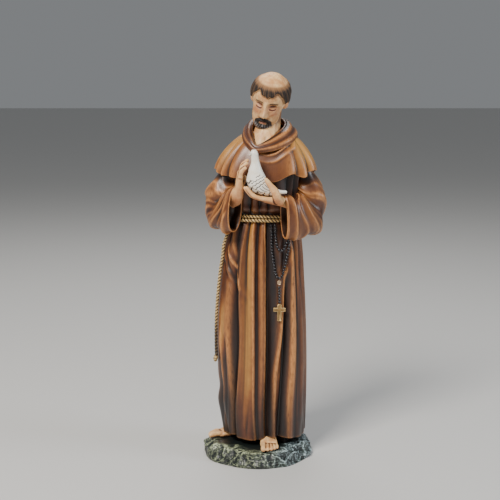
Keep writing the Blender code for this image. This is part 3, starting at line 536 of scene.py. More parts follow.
class Graph:
    """A material's node tree, with short calls for the few nodes that the finishes use."""

    def __init__(self, name: str) -> None:
        """Starts a material with a plain Principled shader.

        Args:
            name: the material's name.
        """
        self.material = bpy.data.materials.new(name)
        self.material.use_nodes = True
        self.tree = self.material.node_tree
        self.shader = self.tree.nodes["Principled BSDF"]

    def node(self, kind: str, **inputs: object) -> bpy.types.Node:
        """Adds a node and fills or links its inputs.

        Args:
            kind: the node's type name.
            inputs: by socket name with _ for a blank, a value or another node's socket.

        Returns:
            The node.
        """
        made = self.tree.nodes.new(kind)
        for key, value in inputs.items():
            self.feed(made.inputs[key.replace("_", " ")], value)
        return made

    def feed(self, socket: Socket, value: object) -> None:
        """Sets a socket to a value, or links it to another socket.

        Args:
            socket: the input.
            value: a number, a colour or a socket.
        """
        if isinstance(value, Socket):
            self.tree.links.new(value, socket)
        elif isinstance(value, tuple) and len(value) == 3 and socket.type == "RGBA":
            socket.default_value = (*value, 1)
        else:
            socket.default_value = value

    def attribute(self, name: str) -> Socket:
        """The mesh's own attribute of this name.

        Args:
            name: the attribute.

        Returns:
            Its socket.
        """
        made = self.tree.nodes.new("ShaderNodeAttribute")
        made.attribute_name = name
        return made.outputs["Fac"]

    def mottle(self, size: float, detail: float = 4.0, stretch: Colour = (1, 1, 1)) -> Socket:
        """Noise on object coordinates, from 0 to 1.

        Args:
            size: size of a patch in metres.
            detail: layers of finer noise.
            stretch: how many times longer a patch is along each axis.

        Returns:
            The noise socket.
        """
        place = self.tree.nodes.new("ShaderNodeTexCoord").outputs["Object"]
        mapping = self.node("ShaderNodeMapping", Vector=place, Scale=tuple(1 / s for s in stretch))
        made = self.node("ShaderNodeTexNoise", Vector=mapping.outputs[0], Scale=1 / size, Detail=detail, Roughness=0.6)
        return made.outputs["Fac"]

    def reckon(self, operation: str, a: object, b: object, clamp: bool = False) -> Socket:
        """A sum of two numbers.

        Args:
            operation: the math node's operation, such as ADD.
            a: the first number or socket.
            b: the second one.
            clamp: whether the result is kept from 0 to 1.

        Returns:
            The result's socket.
        """
        made = self.tree.nodes.new("ShaderNodeMath")
        made.operation = operation
        made.use_clamp = clamp
        self.feed(made.inputs[0], a)
        self.feed(made.inputs[1], b)
        return made.outputs[0]

    def plus(self, a: object, b: object) -> Socket:
        """Two numbers together, kept from 0 to 1."""
        return self.reckon("ADD", a, b, True)

    def times(self, a: object, b: object) -> Socket:
        """One number times another."""
        return self.reckon("MULTIPLY", a, b)

    def swing(self, noise_socket: object, size: float) -> Socket:
        """Noise from 0 to 1 made to swing round nothing, times a size."""
        return self.times(self.reckon("SUBTRACT", noise_socket, 0.5), size)

    def between(self, value: object, low: float, high: float) -> Socket:
        """A smooth step of a number, from 0 at low to 1 at high.

        Args:
            value: the number or socket.
            low: where it starts.
            high: where it ends.

        Returns:
            The step's socket.
        """
        made = self.node("ShaderNodeMapRange", Value=value)
        made.interpolation_type = "SMOOTHSTEP"
        made.inputs["From Min"].default_value = low
        made.inputs["From Max"].default_value = high
        return made.outputs["Result"]

    def blend(self, share: object, a: object, b: object) -> Socket:
        """A colour between two.

        Args:
            share: 0 for the first colour, 1 for the second.
            a: the first colour.
            b: the second colour.

        Returns:
            The colour's socket.
        """
        made = self.tree.nodes.new("ShaderNodeMix")
        made.data_type = "RGBA"
        self.feed(made.inputs["Factor"], share)
        self.feed(made.inputs[6], a)
        self.feed(made.inputs[7], b)
        return made.outputs[2]

    def ramp(self, value: object, stops: tuple[tuple[float, Colour], ...]) -> Socket:
        """A colour that runs through these stops.

        Args:
            value: place on the ramp.
            stops: place and colour of each stop.

        Returns:
            The colour's socket.
        """
        made = self.node("ShaderNodeValToRGB", Fac=value)
        ramp = made.color_ramp
        for k, (place, colour) in enumerate(stops):
            stop = ramp.elements[k] if k < 2 else ramp.elements.new(place)
            stop.position = place
            stop.color = (*colour, 1)
        return made.outputs["Color"]

    def bump(self, height: object, depth: float) -> None:
        """Fine relief under the paint, in metres."""
        made = self.node("ShaderNodeBump", Height=height, Distance=depth, Strength=1.0)
        self.tree.links.new(made.outputs[0], self.shader.inputs["Normal"])

    def finish(self, colour: object, roughness: object, metallic: float = 0.0, coat: float = 0.0) -> Material:
        """Feeds the shader and gives the material.

        Args:
            colour: base colour.
            roughness: a number or a socket.
            metallic: 0 for paint, 1 for bare metal.
            coat: share of clear varnish.

        Returns:
            The material.
        """
        self.feed(self.shader.inputs["Base Color"], colour)
        self.feed(self.shader.inputs["Roughness"], roughness)
        self.shader.inputs["Metallic"].default_value = metallic
        self.shader.inputs["Coat Weight"].default_value = coat
        self.shader.inputs["Coat Roughness"].default_value = COAT_ROUGHNESS
        return self.material


@dataclass(frozen=True)
class ClothPaint:
    """Brown cloth paint: red-brown to ochre by its painted light and shade and its tone, a dark wash with painted
    shade in the folds, and dry-brushed ridges with painted highlights.
    """

    name: str = "cloth_paint"
    tones: tuple[tuple[float, Colour], ...] = (
        (0.0, (0.010, 0.006, 0.006)),
        (0.22, (0.034, 0.013, 0.008)),
        (0.45, (0.100, 0.029, 0.011)),
        (0.70, (0.24, 0.083, 0.019)),
        (1.0, (0.52, 0.255, 0.055)),
    )
    wash_and_shade: Colour = (0.009, 0.005, 0.005)
    ridge: Colour = (0.68, 0.29, 0.09)
    roughness: float = 0.40

    def make(self) -> Material:
        """Builds the material.

        Returns:
            The material.
        """
        g = Graph(self.name)
        patches = g.mottle(0.009, 5.0)
        streaks = g.mottle(0.0010, 4.0, (1, 1, 4))
        tone = g.plus(g.plus(g.attribute("tone"), g.swing(patches, 0.34)), g.swing(streaks, 0.11))
        colour = g.ramp(tone, self.tones)
        # Dry brush on the ridges, with painted highlights along the lit fold edges and the drapes
        dry_brush_and_highlight = g.times(g.times(g.attribute("ridge"), g.between(streaks, 0.15, 0.6)), 0.75)
        colour = g.blend(dry_brush_and_highlight, colour, self.ridge)
        # The wash, with painted shade in the folds, under the cape's hem and inside the cuffs
        wash_and_shade_depth = g.plus(g.attribute("wash_and_shade"), g.swing(patches, 0.3))
        colour = g.blend(g.times(g.between(wash_and_shade_depth, 0.1, 1.0), 0.93), colour, self.wash_and_shade)
        gloss = g.plus(g.times(g.mottle(0.003), 0.22), self.roughness - 0.11)
        g.bump(g.mottle(0.0006, 3.0, (1, 1, 3)), 0.00006)
        return g.finish(colour, gloss, coat=0.18)


@dataclass(frozen=True)
class SkinPaint:
    """Flesh paint with a warm wash and painted shade, blush with painted shade on undersides, and painted hair, lips
    and lash lines where the mesh says so.
    """

    name: str = "skin_paint"
    flesh: Colour = (0.66, 0.31, 0.115)
    light: Colour = (0.95, 0.62, 0.29)
    wash_and_shade: Colour = (0.10, 0.026, 0.010)
    blush_and_underside_shade: Colour = (0.50, 0.135, 0.060)
    lips: Colour = (0.27, 0.075, 0.05)
    dark_hair: Colour = (0.016, 0.009, 0.006)
    light_hair: Colour = (0.34, 0.165, 0.065)
    grey_hair: Colour = (0.25, 0.24, 0.25)
    roughness: float = 0.50

    def make(self) -> Material:
        """Builds the material.

        Returns:
            The material.
        """
        g = Graph(self.name)
        patches = g.mottle(0.004, 4.0)
        colour = g.blend(g.between(patches, 0.3, 0.75), self.flesh, self.light)
        colour = g.blend(g.times(g.attribute("ridge"), 0.6), colour, self.light)
        # Blush on the cheeks, and painted shade on the undersides of the hands and feet
        colour = g.blend(g.times(g.attribute("blush_and_underside_shade"), 0.75), colour, self.blush_and_underside_shade)
        # The warm wash, with painted shade in the hollows, the eye sockets and beside the nose
        colour = g.blend(g.between(g.attribute("wash_and_shade"), 0.05, 1.0), colour, self.wash_and_shade)
        colour = g.blend(g.attribute("lips"), colour, self.lips)
        lock = g.blend(g.attribute("strand"), self.dark_hair, self.light_hair)
        lock = g.blend(g.attribute("grey"), lock, self.grey_hair)
        colour = g.blend(g.attribute("hair"), colour, lock)
        g.bump(g.mottle(0.0008, 3.0), 0.00003)
        dull = g.plus(g.times(g.attribute("hair"), 0.3), self.roughness)
        return g.finish(colour, dull, coat=0.02)


@dataclass(frozen=True)
class DovePaint:
    """Cream white paint with thin dark wash in the feather lines."""

    name: str = "dove_paint_finish"
    white: Colour = (0.97, 0.93, 0.84)
    cream: Colour = (0.88, 0.78, 0.60)
    wash_and_shade: Colour = (0.035, 0.026, 0.024)
    roughness: float = 0.36

    def make(self) -> Material:
        """Builds the material.

        Returns:
            The material.
        """
        g = Graph(self.name)
        colour = g.blend(g.between(g.mottle(0.0035, 4.0), 0.35, 0.8), self.white, self.cream)
        colour = g.blend(g.between(g.attribute("wash_and_shade"), 0.12, 0.9), colour, self.wash_and_shade)
        g.bump(g.mottle(0.0005, 2.0), 0.00003)
        return g.finish(colour, self.roughness, coat=0.15)


@dataclass(frozen=True)
class RockPaint:
    """Green-black paint, dry-brushed on its edges with pale green that turns blue-white on the right side, as painted
    cool light.
    """

    name: str = "rock_paint_finish"
    dark: Colour = (0.008, 0.012, 0.011)
    green: Colour = (0.035, 0.052, 0.036)
    pale: Colour = (0.50, 0.56, 0.34)
    cool_light_right: Colour = (0.55, 0.70, 0.72)
    roughness: float = 0.45

    def make(self) -> Material:
        """Builds the material.

        Returns:
            The material.
        """
        g = Graph(self.name)
        colour = g.blend(g.between(g.mottle(0.005, 5.0), 0.42, 0.85), self.dark, self.green)
        # Pale green dry brush, blue-white on the right side as painted cool light
        edge = g.blend(g.attribute("cool_light_right"), self.pale, self.cool_light_right)
        dry_brush_and_highlight = g.times(g.attribute("ridge"), g.between(g.mottle(0.0012, 5.0), 0.36, 0.56))
        colour = g.blend(dry_brush_and_highlight, colour, edge)
        colour = g.blend(g.between(g.attribute("wash_and_shade"), 0.1, 0.9), colour, self.dark)
        g.bump(g.mottle(0.0009, 5.0), 0.00025)
        return g.finish(colour, self.roughness, coat=0.25)


@dataclass(frozen=True)
class RopePaint:
    """Cream-gold strands with dark grooves."""

    name: str = "rope_paint_finish"
    strand: Colour = (0.42, 0.24, 0.065)
    light: Colour = (0.80, 0.58, 0.26)
    groove: Colour = (0.030, 0.017, 0.010)
    roughness: float = 0.42

    def make(self) -> Material:
        """Builds the material.

        Returns:
            The material.
        """
        g = Graph(self.name)
        brushed = g.times(g.attribute("ridge"), g.between(g.mottle(0.0015), 0.25, 0.6))
        colour = g.blend(brushed, self.strand, self.light)
        colour = g.blend(g.between(g.attribute("wash_and_shade"), 0.1, 0.75), colour, self.groove)
        return g.finish(colour, self.roughness, coat=0.15)


@dataclass(frozen=True)
class GlossPaint:
    """Glossy black of the beads."""

    name: str
    colour: Colour = (0.006, 0.005, 0.007)
    roughness: float = 0.18

    def make(self) -> Material:
        """Builds the material.

        Returns:
            The material.
        """
        g = Graph(self.name)
        colour = g.blend(g.mottle(0.002, 2.0), self.colour, tuple(2.2 * c for c in self.colour))
        return g.finish(colour, self.roughness, coat=0.5)


@dataclass(frozen=True)
class Brass:
    """Aged brass: brown in its hollows and bright at its edges."""

    name: str
    dull: Colour = (0.30, 0.16, 0.055)
    bright: Colour = (0.82, 0.58, 0.26)
    roughness: float = 0.34

    def make(self) -> Material:
        """Builds the material.

        Returns:
            The material.
        """
        g = Graph(self.name)
        share = g.plus(g.attribute("ridge"), g.swing(g.mottle(0.0012), 0.5))
        colour = g.blend(share, self.dull, self.bright)
        g.bump(g.mottle(0.0005, 3.0), 0.00004)
        return g.finish(colour, self.roughness, metallic=0.75)


# The robe


@dataclass(frozen=True)
class Fold:
    """A fold of the cloth along a path of heights and angles, with its relief and its paint: painted light and shade
    on the fold, and a painted highlight along it.
    """

    path: Pairs
    breadth: float
    size: float = 0.0
    fade: float = 8.0
    tone: float = 0.0
    light: float = 0.0

    def strength(self, degrees: Grid, z: Grid) -> Grid:
        """A bell across the path, one on it, that fades at its ends; ends below the hem don't fade.

        Args:
            degrees: angles round the robe.
            z: heights.

        Returns:
            The fold's share at each place.
        """
        heights, angles = np.array(self.path[::-1], float).T
        middle = soft_steps(np.clip(z, heights[0], heights[-1]), heights, angles)
        ends = 1 - rise(z, heights[-1] - self.fade * 0.3, heights[-1] + self.fade)
        if heights[0] > 9:
            ends = ends * rise(z, heights[0] - self.fade, heights[0] + self.fade * 0.3)
        return hump(turned(degrees, middle) * 0.47, 0, self.breadth) * ends


@dataclass
class Robe(SubAssembly):
    """The long robe: a squared oval outline with pleats, gathers, creases and a hem."""

    heights: Row = (4.5, 20, 50, 80, 110, 135, 147, 152.8, 159, 175, 190, 200, 207)
    half_widths: Row = (27.8, 29.2, 30.1, 29.7, 27.9, 25.1, 22.4, 20.0, 22.2, 23.6, 24.0, 17.0, 9.0)
    half_depths: Row = (23.0, 23.2, 22.6, 21.8, 20.2, 18.4, 16.8, 15.2, 17.2, 18.4, 17.0, 13.0, 8.0)
    centres: Row = (1.6, 0.7, 0.2, 0.0, 0.4, 1.4, 2.2, 2.6, 2.8, 3.0, 3.6, 3.8, 4.0)
    centre_y: float = 0.5
    squareness: float = 2.2
    hem: float = 4.5
    knee: float = 75.0
    waist: float = 150.0
    hem_tucks: Pairs = ((0.5, -0.25), (1.3, 0.0), (1.8, 0.9), (4.6, 1.6), (5.2, -4.5))
    rows: int = 250
    columns_per_pleat: int = 20
    # The thigh's swell: its share, its angle and breadth, then its height and tallness
    thigh: Row = (0.055, -52, 22, 82, 30)
    # The fold drawn across the thigh: from and to as angle and height, then its size and breadth
    thigh_fold: Row = (-80, 127, -36, 107, 1.38, 3.2)
    # Angle of each valley at waist, knee and hem, then its depth there
    valleys: tuple[tuple[Row, Row], ...] = (
        ((-172, -171, -169), (1.4, 2.0, 2.6)),
        ((-149, -147, -148), (1.2, 2.2, 3.0)),
        ((-123, -125, -121), (1.2, 1.8, 2.6)),
        ((-97, -101, -95), (1.2, 1.3, 2.8)),
        ((-70, -60, -68), (1.3, 0.5, 2.8)),
        ((-50, -33, -47), (2.4, 3.4, 3.6)),
        ((-29, -20, -27), (1.7, 0.3, 0.4)),
        ((-12.5, -7.5, -11), (2.0, 1.5, 1.1)),
        ((4, 8, 2.6), (2.5, 4.6, 3.8)),
        ((34, 32.5, 21), (1.6, 4.0, 3.6)),
        ((49, 53, 47), (1.6, 1.0, 0.8)),
        ((63, 66, 63), (1.8, 0.5, 0.4)),
        ((79, 80, 79), (1.8, 2.0, 2.2)),
        ((98, 101, 99), (1.3, 1.8, 2.6)),
        ((122, 124, 122), (1.2, 2.2, 3.0)),
        ((146, 147, 146), (1.2, 2.0, 2.6)),
        ((168, 169, 170), (1.4, 2.2, 2.8)),
    )
    folds: tuple[Fold, ...] = (
        # The oblique fold under the cross, and the valley beside it in painted shade
        Fold(
            ((118, 35), (105, 31), (95, 29), (85, 26.6), (74, 24.2), (62, 19.8), (49, 16), (32, 14.5), (5, 13)),
            1.1, 1.5, tone=0.20, light=0.7,
        ),
        Fold(((118, 42), (95, 40), (75, 37), (62, 34), (48, 31), (31, 27), (5, 24)), 2.2, tone=-0.38),
        # The panel at the left in painted light, its groove in painted shade, and its lit edge
        Fold(((130, 47), (107, 46), (95, 45), (74, 44), (48, 41), (31, 38), (5, 37)), 2.2, 0.8, tone=0.22, light=0.25),
        Fold(((132, 43.5), (107, 42), (95, 41), (74, 40), (48, 37), (31, 34), (5, 33)), 0.6, 0.3, 4.0, light=0.9),
        Fold(((120, 60), (97, 58), (64, 56), (20, 54)), 1.3, -0.45, 12.0, -0.12),
        Fold(((140, 56), (97, 53), (48, 48), (5, 44)), 3.0, tone=0.12),
        Fold(((100, 66), (64, 66), (20, 64)), 2.0, 0.35, 12.0, 0.06),
        # The broad golden pleat in painted light, and its lit right edge
        Fold(((152, -24), (118, -20), (99, -18), (45, -19), (5, -24)), 3.6, tone=0.36),
        Fold(
            ((152, -20.5), (125, -14.6), (99, -12.4), (72, -11.2), (45, -11.6), (5, -13)), 0.65, 0.45, 3.0, light=0.85
        ),
        Fold(((150, -33), (118, -32), (99, -31), (59, -32), (31, -34), (5, -40)), 0.7, 0.25, 4.0, light=0.2),
        Fold(((152, -16), (125, -11.5), (99, -8.8), (72, -7.8), (45, -8.3), (5, -9.5)), 1.4, -0.3, 3.0, -0.24),
        # The second pleat, and the broad valley beside it in painted shade
        Fold(((152, -6), (99, -1.5), (45, -2), (5, -5)), 1.8, tone=0.10),
        Fold(((152, -1.8), (125, 3.2), (99, 4.4), (72, 4.4), (45, 3.2), (5, 0.5)), 0.6, 0.45, 3.0, light=0.8),
        Fold(((148, 9), (105, 14), (75, 12), (50, 9), (5, 6)), 3.4, tone=-0.50),
        Fold(((110, 8.5), (75, 9), (40, 7), (12, 5)), 0.5, 0.3, 8.0, light=0.2),
        Fold(((145, 26), (122, 26)), 3.4, tone=-0.30),
        # The side beside the golden pleat in painted shade, and the fold that is drawn across the thigh, with painted
        # light on the thigh
        Fold(((150, -43), (118, -37), (99, -36), (60, -37), (5, -45)), 2.7, tone=-0.45),
        Fold(((133, -66), (125, -52), (119.6, -42.5), (112.8, -35), (106, -31)), 0.9, 0.6, 3.0, 0.2, 0.7),
        Fold(((126, -62), (118, -50), (111, -42), (105, -37)), 1.2, -0.4, 4.0, -0.3),
        Fold(((148, -60), (130, -62), (94, -66)), 6.0, tone=-0.14),
        Fold(((94, -58), (83, -57), (73, -57)), 4.6, tone=0.34, fade=12.0),
        Fold(((146, -56), (135, -52), (126, -44)), 1.1, 0.3, 5.0, 0.08, 0.3),
        # Folds below the knee, with painted light and shade
        Fold(((58, -64), (30, -64), (5, -70)), 7.0, tone=-0.34),
        Fold(((73, -62), (50, -62), (29, -62), (12, -70)), 1.2, 0.8, 9.0, 0.30, 0.4),
        Fold(((69, -53), (50, -52), (29, -53), (6, -60)), 1.4, -1.0, 9.0, -0.12),
        Fold(((71, -44), (50, -43), (29, -44), (6, -50)), 1.3, 0.9, 9.0, 0.16, 0.35),
        Fold(((30, -17), (18, -21), (11, -24)), 1.3, -0.35, 7.0, -0.08),
        Fold(((26, -24), (15, -27), (9, -29)), 1.3, 0.3, 7.0),
        Fold(((48, 70), (30, 68), (12, 71)), 2.0, -0.4, 6.0),
    )

    def degrees(self, columns: Grid, heights: Grid) -> tuple[Grid, Grid]:
        """Angles and pleat depths of a grid; a whole column number runs down a valley.

        Args:
            columns: column numbers, which count the pleats.
            heights: one height for each row.

        Returns:
            Degrees from the front, and depth below the panels.
        """
        levels = (self.hem, self.knee, self.waist)
        at = np.clip(heights, self.hem, self.waist)
        angles = soft_steps(at, levels, np.array([v[0] for v in self.valleys], float)[:, ::-1].T)
        depths = soft_steps(at, levels, np.array([v[1] for v in self.valleys], float)[:, ::-1].T)
        angles = np.concatenate([angles, angles[:, :1] + 360], axis=1)
        depths = np.concatenate([depths, depths[:, :1]], axis=1)
        k = np.minimum(columns.astype(int), len(self.valleys) - 1)
        within = columns - k
        shape = 1 - np.sin(np.pi * within) ** 1.15
        depth = (depths[:, k] * (1 - within) + depths[:, k + 1] * within) * shape
        return angles[:, k] * (1 - within) + angles[:, k + 1] * within, depth

    def gathers(self, degrees: Grid, z: Grid) -> Grid:
        """Small folds that the cord draws in: narrow waves that are strongest just above and below it.

        Args:
            degrees: angles round the robe.
            z: heights.

        Returns:
            How far the cloth stands out, in parts.
        """
        wave = np.sin(np.radians(degrees * 13 + 40 * np.sin(np.radians(3 * degrees))))
        above = rise(z, 153.5, 157) * (1 - rise(z, 160, 176))
        below = rise(z, 128, 146) * (1 - rise(z, 148, 150.5))
        chest = rise(z, 160, 168) * hump(turned(degrees, 58), 0, 24) * np.sin(np.radians(degrees * 26))
        blouse = 1.1 * hump(z, 157.5, 2.6)
        return 0.55 * wave * above + 0.22 * wave * below + 0.4 * chest + blouse

    def surface(self, columns: Grid, heights: Grid, detail: float = 1.0) -> Grid:
        """The robe's outside: the outline at each height, times one, less the pleats, plus folds and creases.

        Args:
            columns: column numbers.
            heights: one height for each row, in parts.
            detail: share of the creases and gathers.

        Returns:
            Points, rows by columns by three, in parts.
        """
        degrees, depth = self.degrees(columns, heights)
        z = heights[:, None] + 0 * degrees
        depth = depth * (1 - 0.75 * hump(z, 153, 4.5)) * unit((208 - z) / 30)
        half_width = soft_steps(z, self.heights, self.half_widths)
        half_depth = soft_steps(z, self.heights, self.half_depths)
        centre = soft_steps(z, self.heights, self.centres)
        share, at, breadth, height, tallness = self.thigh
        thigh = share * hump(turned(degrees, at), 0, breadth) * hump(z, height, tallness)
        start, start_z, end, end_z, size, breadth = self.thigh_fold
        along = (degrees - start) / (end - start)
        off = (z - start_z - along * (end_z - start_z)) / breadth
        drawn = size * off * np.exp(-(off**2)) * hump(along, 0.5, 0.55) / half_depth
        bunched = 0.035 * hump(turned(degrees, -95), 0, 30) * (hump(z, 27, 7) - hump(z, 37, 6))
        folded = sum(fold.size * fold.strength(degrees, z) for fold in self.folds if fold.size)
        extra = detail * (folded + self.gathers(degrees, z)) / half_depth
        x, y = oval(np.radians(degrees), self.squareness)
        scale = 1 + thigh + drawn + bunched + extra - depth / half_depth
        wave = 0.9 * np.sin(np.radians(5 * degrees)) + 0.8 * hump(turned(degrees, 8), 0, 16)
        z = z + wave * np.exp(-(z - self.hem) / 9)
        return together(centre + half_width * scale * x, self.centre_y + half_depth * scale * y, z)

    def tone(self, degrees: Grid, z: Grid) -> Grid:
        """How light the cloth's paint is: the painted light and shade of its folds, red-brown and darker towards the
        hem, and painted shade above the cord under the cape and the arms.

        Args:
            degrees: angles round the robe.
            z: heights.

        Returns:
            The tone, about 0 to 1.
        """
        tone = 0.52 + sum(fold.tone * fold.strength(degrees, z) for fold in self.folds if fold.tone)
        # Darker and redder towards the hem
        tone = tone - 0.34 * rise(-z, -50, -6)
        # Painted shade above the cord, under the cape and the arms
        return tone - 0.08 * rise(z, 150, 156) - 0.20 * rise(z, 163, 170)

    def build(self) -> Piece:
        """Builds the robe's mesh.

        Returns:
            The mesh object.
        """
        columns = np.arange(len(self.valleys) * self.columns_per_pleat) / self.columns_per_pleat
        heights = np.concatenate([self.hem + 0.22 * np.arange(6) ** 1.2, np.linspace(7, 190, self.rows - 6)])
        outside = self.surface(columns, heights)
        degrees, _ = self.degrees(columns, heights)
        z = heights[:, None] + 0 * degrees
        paint = fold_paint(outside)
        paint["tone"] = self.tone(degrees, z)
        # Painted highlights along the lit fold edges push back the wash; painted shade above the cord
        light = sum(fold.light * fold.strength(degrees, z) for fold in self.folds if fold.light)
        paint["wash_and_shade"] = unit(paint["wash_and_shade"] * 0.95 - light + 0.12 * rise(z, 150, 157))
        ridge = 0.6 * paint["ridge"] * rise(paint["tone"], 0.1, 0.7) + light
        ridge = ridge * (0.35 + 0.65 * rise(z, 8, 60)) + 0.3 * hump(z, self.hem, 0.7)
        paint["ridge"] = unit(ridge) * (1 - 0.35 * rise(z, 150, 158))
        inwards = np.array([self.centres[0], self.centre_y, 0]) - outside[0]
        inwards[:, 2] = 0
        inwards = directed(inwards)
        tucked = []
        for inset, up in self.hem_tucks:
            ring = outside[0] + inwards * inset
            ring[:, 2] = 0.05 if up < -1 else outside[0][:, 2] + up
            tucked.append(ring)
        count = len(tucked)
        points = np.concatenate([np.array(tucked[::-1]), outside])
        # The rows tucked under the hem are painted dark, as painted shade
        dark = {"ridge": 0.0, "wash_and_shade": 0.9, "tone": 0.2}
        paint = {k: np.concatenate([np.full((count, len(columns)), dark[k]), v]) for k, v in paint.items()}
        return lay_skin("robe", points, paint)


@dataclass
class Cape(SubAssembly):
    """The shoulder cape: it falls from its neck ring to its hem in folds, then turns under."""

    neck: Row = (4.5, -2.0, 11.5, 13.0)
    hem: Row = (2.4, -1.6, 33.6, 21.6)
    neck_height: float = 204.5
    neck_dip: float = 6.0
    squareness: float = 2.35
    slope: float = 1.38
    rows: int = 120
    columns_per_valley: int = 22
    hem_heights: Pairs = (
        (-180, 174), (-140, 176), (-110, 181), (-90, 183), (-76, 183.6), (-64, 180.8), (-48, 180), (-20, 178),
        (12, 176.9), (32, 181.6), (46, 179), (60, 182.4), (84, 182.6), (110, 179), (145, 175), (180, 174),
    )
    valleys: Pairs = (
        (-160, 1.2), (-126, 1.5), (-96, 1.5), (-76, 1.8), (-62, 2.6), (-48, 2.2), (-28, 0.9), (14, 0.3),
        (38, 1.9), (57, 2.6), (76, 1.8), (98, 1.6), (128, 1.5), (160, 1.2),
    )
    hem_tucks: Pairs = ((0.35, -0.3), (1.0, -0.2), (1.4, 0.1), (1.8, 2.6))
    # Folds that follow the collar round the chest: where they start at the front, and how high they stand
    drapes: Pairs = ((0.26, 0.5), (0.36, 0.7), (0.47, 0.8), (0.60, 0.5))

    def build(self) -> Piece:
        """The cape: spread = sin(s)^n outwards and fall = 1 - cos(s)^n down, for s over a quarter turn.

        Returns:
            The mesh object.
        """
        valleys = np.array([v[0] for v in self.valleys] + [self.valleys[0][0] + 360], float)
        depths = np.array([v[1] for v in self.valleys] + [self.valleys[0][1]], float)
        columns = np.arange(len(self.valleys) * self.columns_per_valley) / self.columns_per_valley
        k = columns.astype(int)
        within = columns - k
        degrees = valleys[k] * (1 - within) + valleys[k + 1] * within
        depth = (depths[k] * (1 - within) + depths[k + 1] * within) * (1 - np.sin(np.pi * within) ** 1.1)
        hem_at, hem_z = np.array(self.hem_heights, float).T
        hem_height = soft_steps((degrees + 180) % 360 - 180, hem_at, hem_z)
        share = np.linspace(0, 1, self.rows)[:, None]
        quarter = share * math.pi / 2
        out, fall = np.sin(quarter) ** self.slope, 1 - np.abs(np.cos(quarter)) ** self.slope
        x, y = oval(np.radians(degrees), self.squareness)
        cx, cy, wide, deep = ((1 - out) * a + out * b for a, b in zip(self.neck, self.hem))
        front = turned(degrees, 4)
        drape = sum(size * hump(share - at + 0.00010 * front**2, 0, 0.026) for at, size in self.drapes)
        groove = sum(size * hump(share - at - 0.05 + 0.00010 * front**2, 0, 0.022) for at, size in self.drapes)
        drape, groove = (line * hump(turned(degrees, 26), 0, 26) for line in (drape, groove))
        scale = 1 - depth * share**1.5 / deep + drape / deep
        z = self.neck_height + 4.5 * np.abs(x) * (1 - share) + (hem_height - self.neck_height) * fall
        z = z - self.neck_dip * hump(turned(degrees, -8), 0, 38) * (1 - share) ** 2
        outside = together(cx + wide * scale * x, cy + deep * scale * y, z)
        edge = outside[-1]
        away = edge - np.array([self.hem[0], self.hem[1], 0])
        away[:, 2] = 0
        away = directed(away)
        under = [edge - away * a + np.array([0, 0, b]) for a, b in self.hem_tucks]
        points = np.concatenate([outside, np.array(under)])
        paint = fold_paint(outside, 0.9, 3.6)
        # Lighter on the shoulders, partly painted light from above, lighter on the friar's left front and darker at
        # the front middle
        tone = 0.63 + 0.30 * rise(np.abs(turned(degrees, 0)), 35, 62) * (1 - rise(share, 0.55, 1.0))
        tone = tone + 0.12 * rise(turned(degrees, 0), 20, 40)
        tone = tone - 0.16 * hump(turned(degrees, -10), 0, 30) * rise(share, 0.2, 0.8)
        paint["tone"] = tone + 0 * paint["wash_and_shade"]
        # Painted highlights on the drapes and painted shade in the grooves below them; a light line along the hem's
        # rim
        paint["ridge"] = unit(paint["ridge"] + 0.7 * drape + 0.7 * rise(share, 0.975, 1.0))
        paint["wash_and_shade"] = unit(paint["wash_and_shade"] * 0.75 + 0.6 * groove)
        # The rows under the hem are painted dark, as painted shade
        under_paint = {"ridge": (0.5, 0, 0, 0), "wash_and_shade": (0.1, 0.8, 1, 1), "tone": (0.6, 0.2, 0.1, 0.1)}
        paint = more_rows(paint, under_paint)
        return lay_skin("shoulder_cape", points[::-1], {key: v[::-1] for key, v in paint.items()})


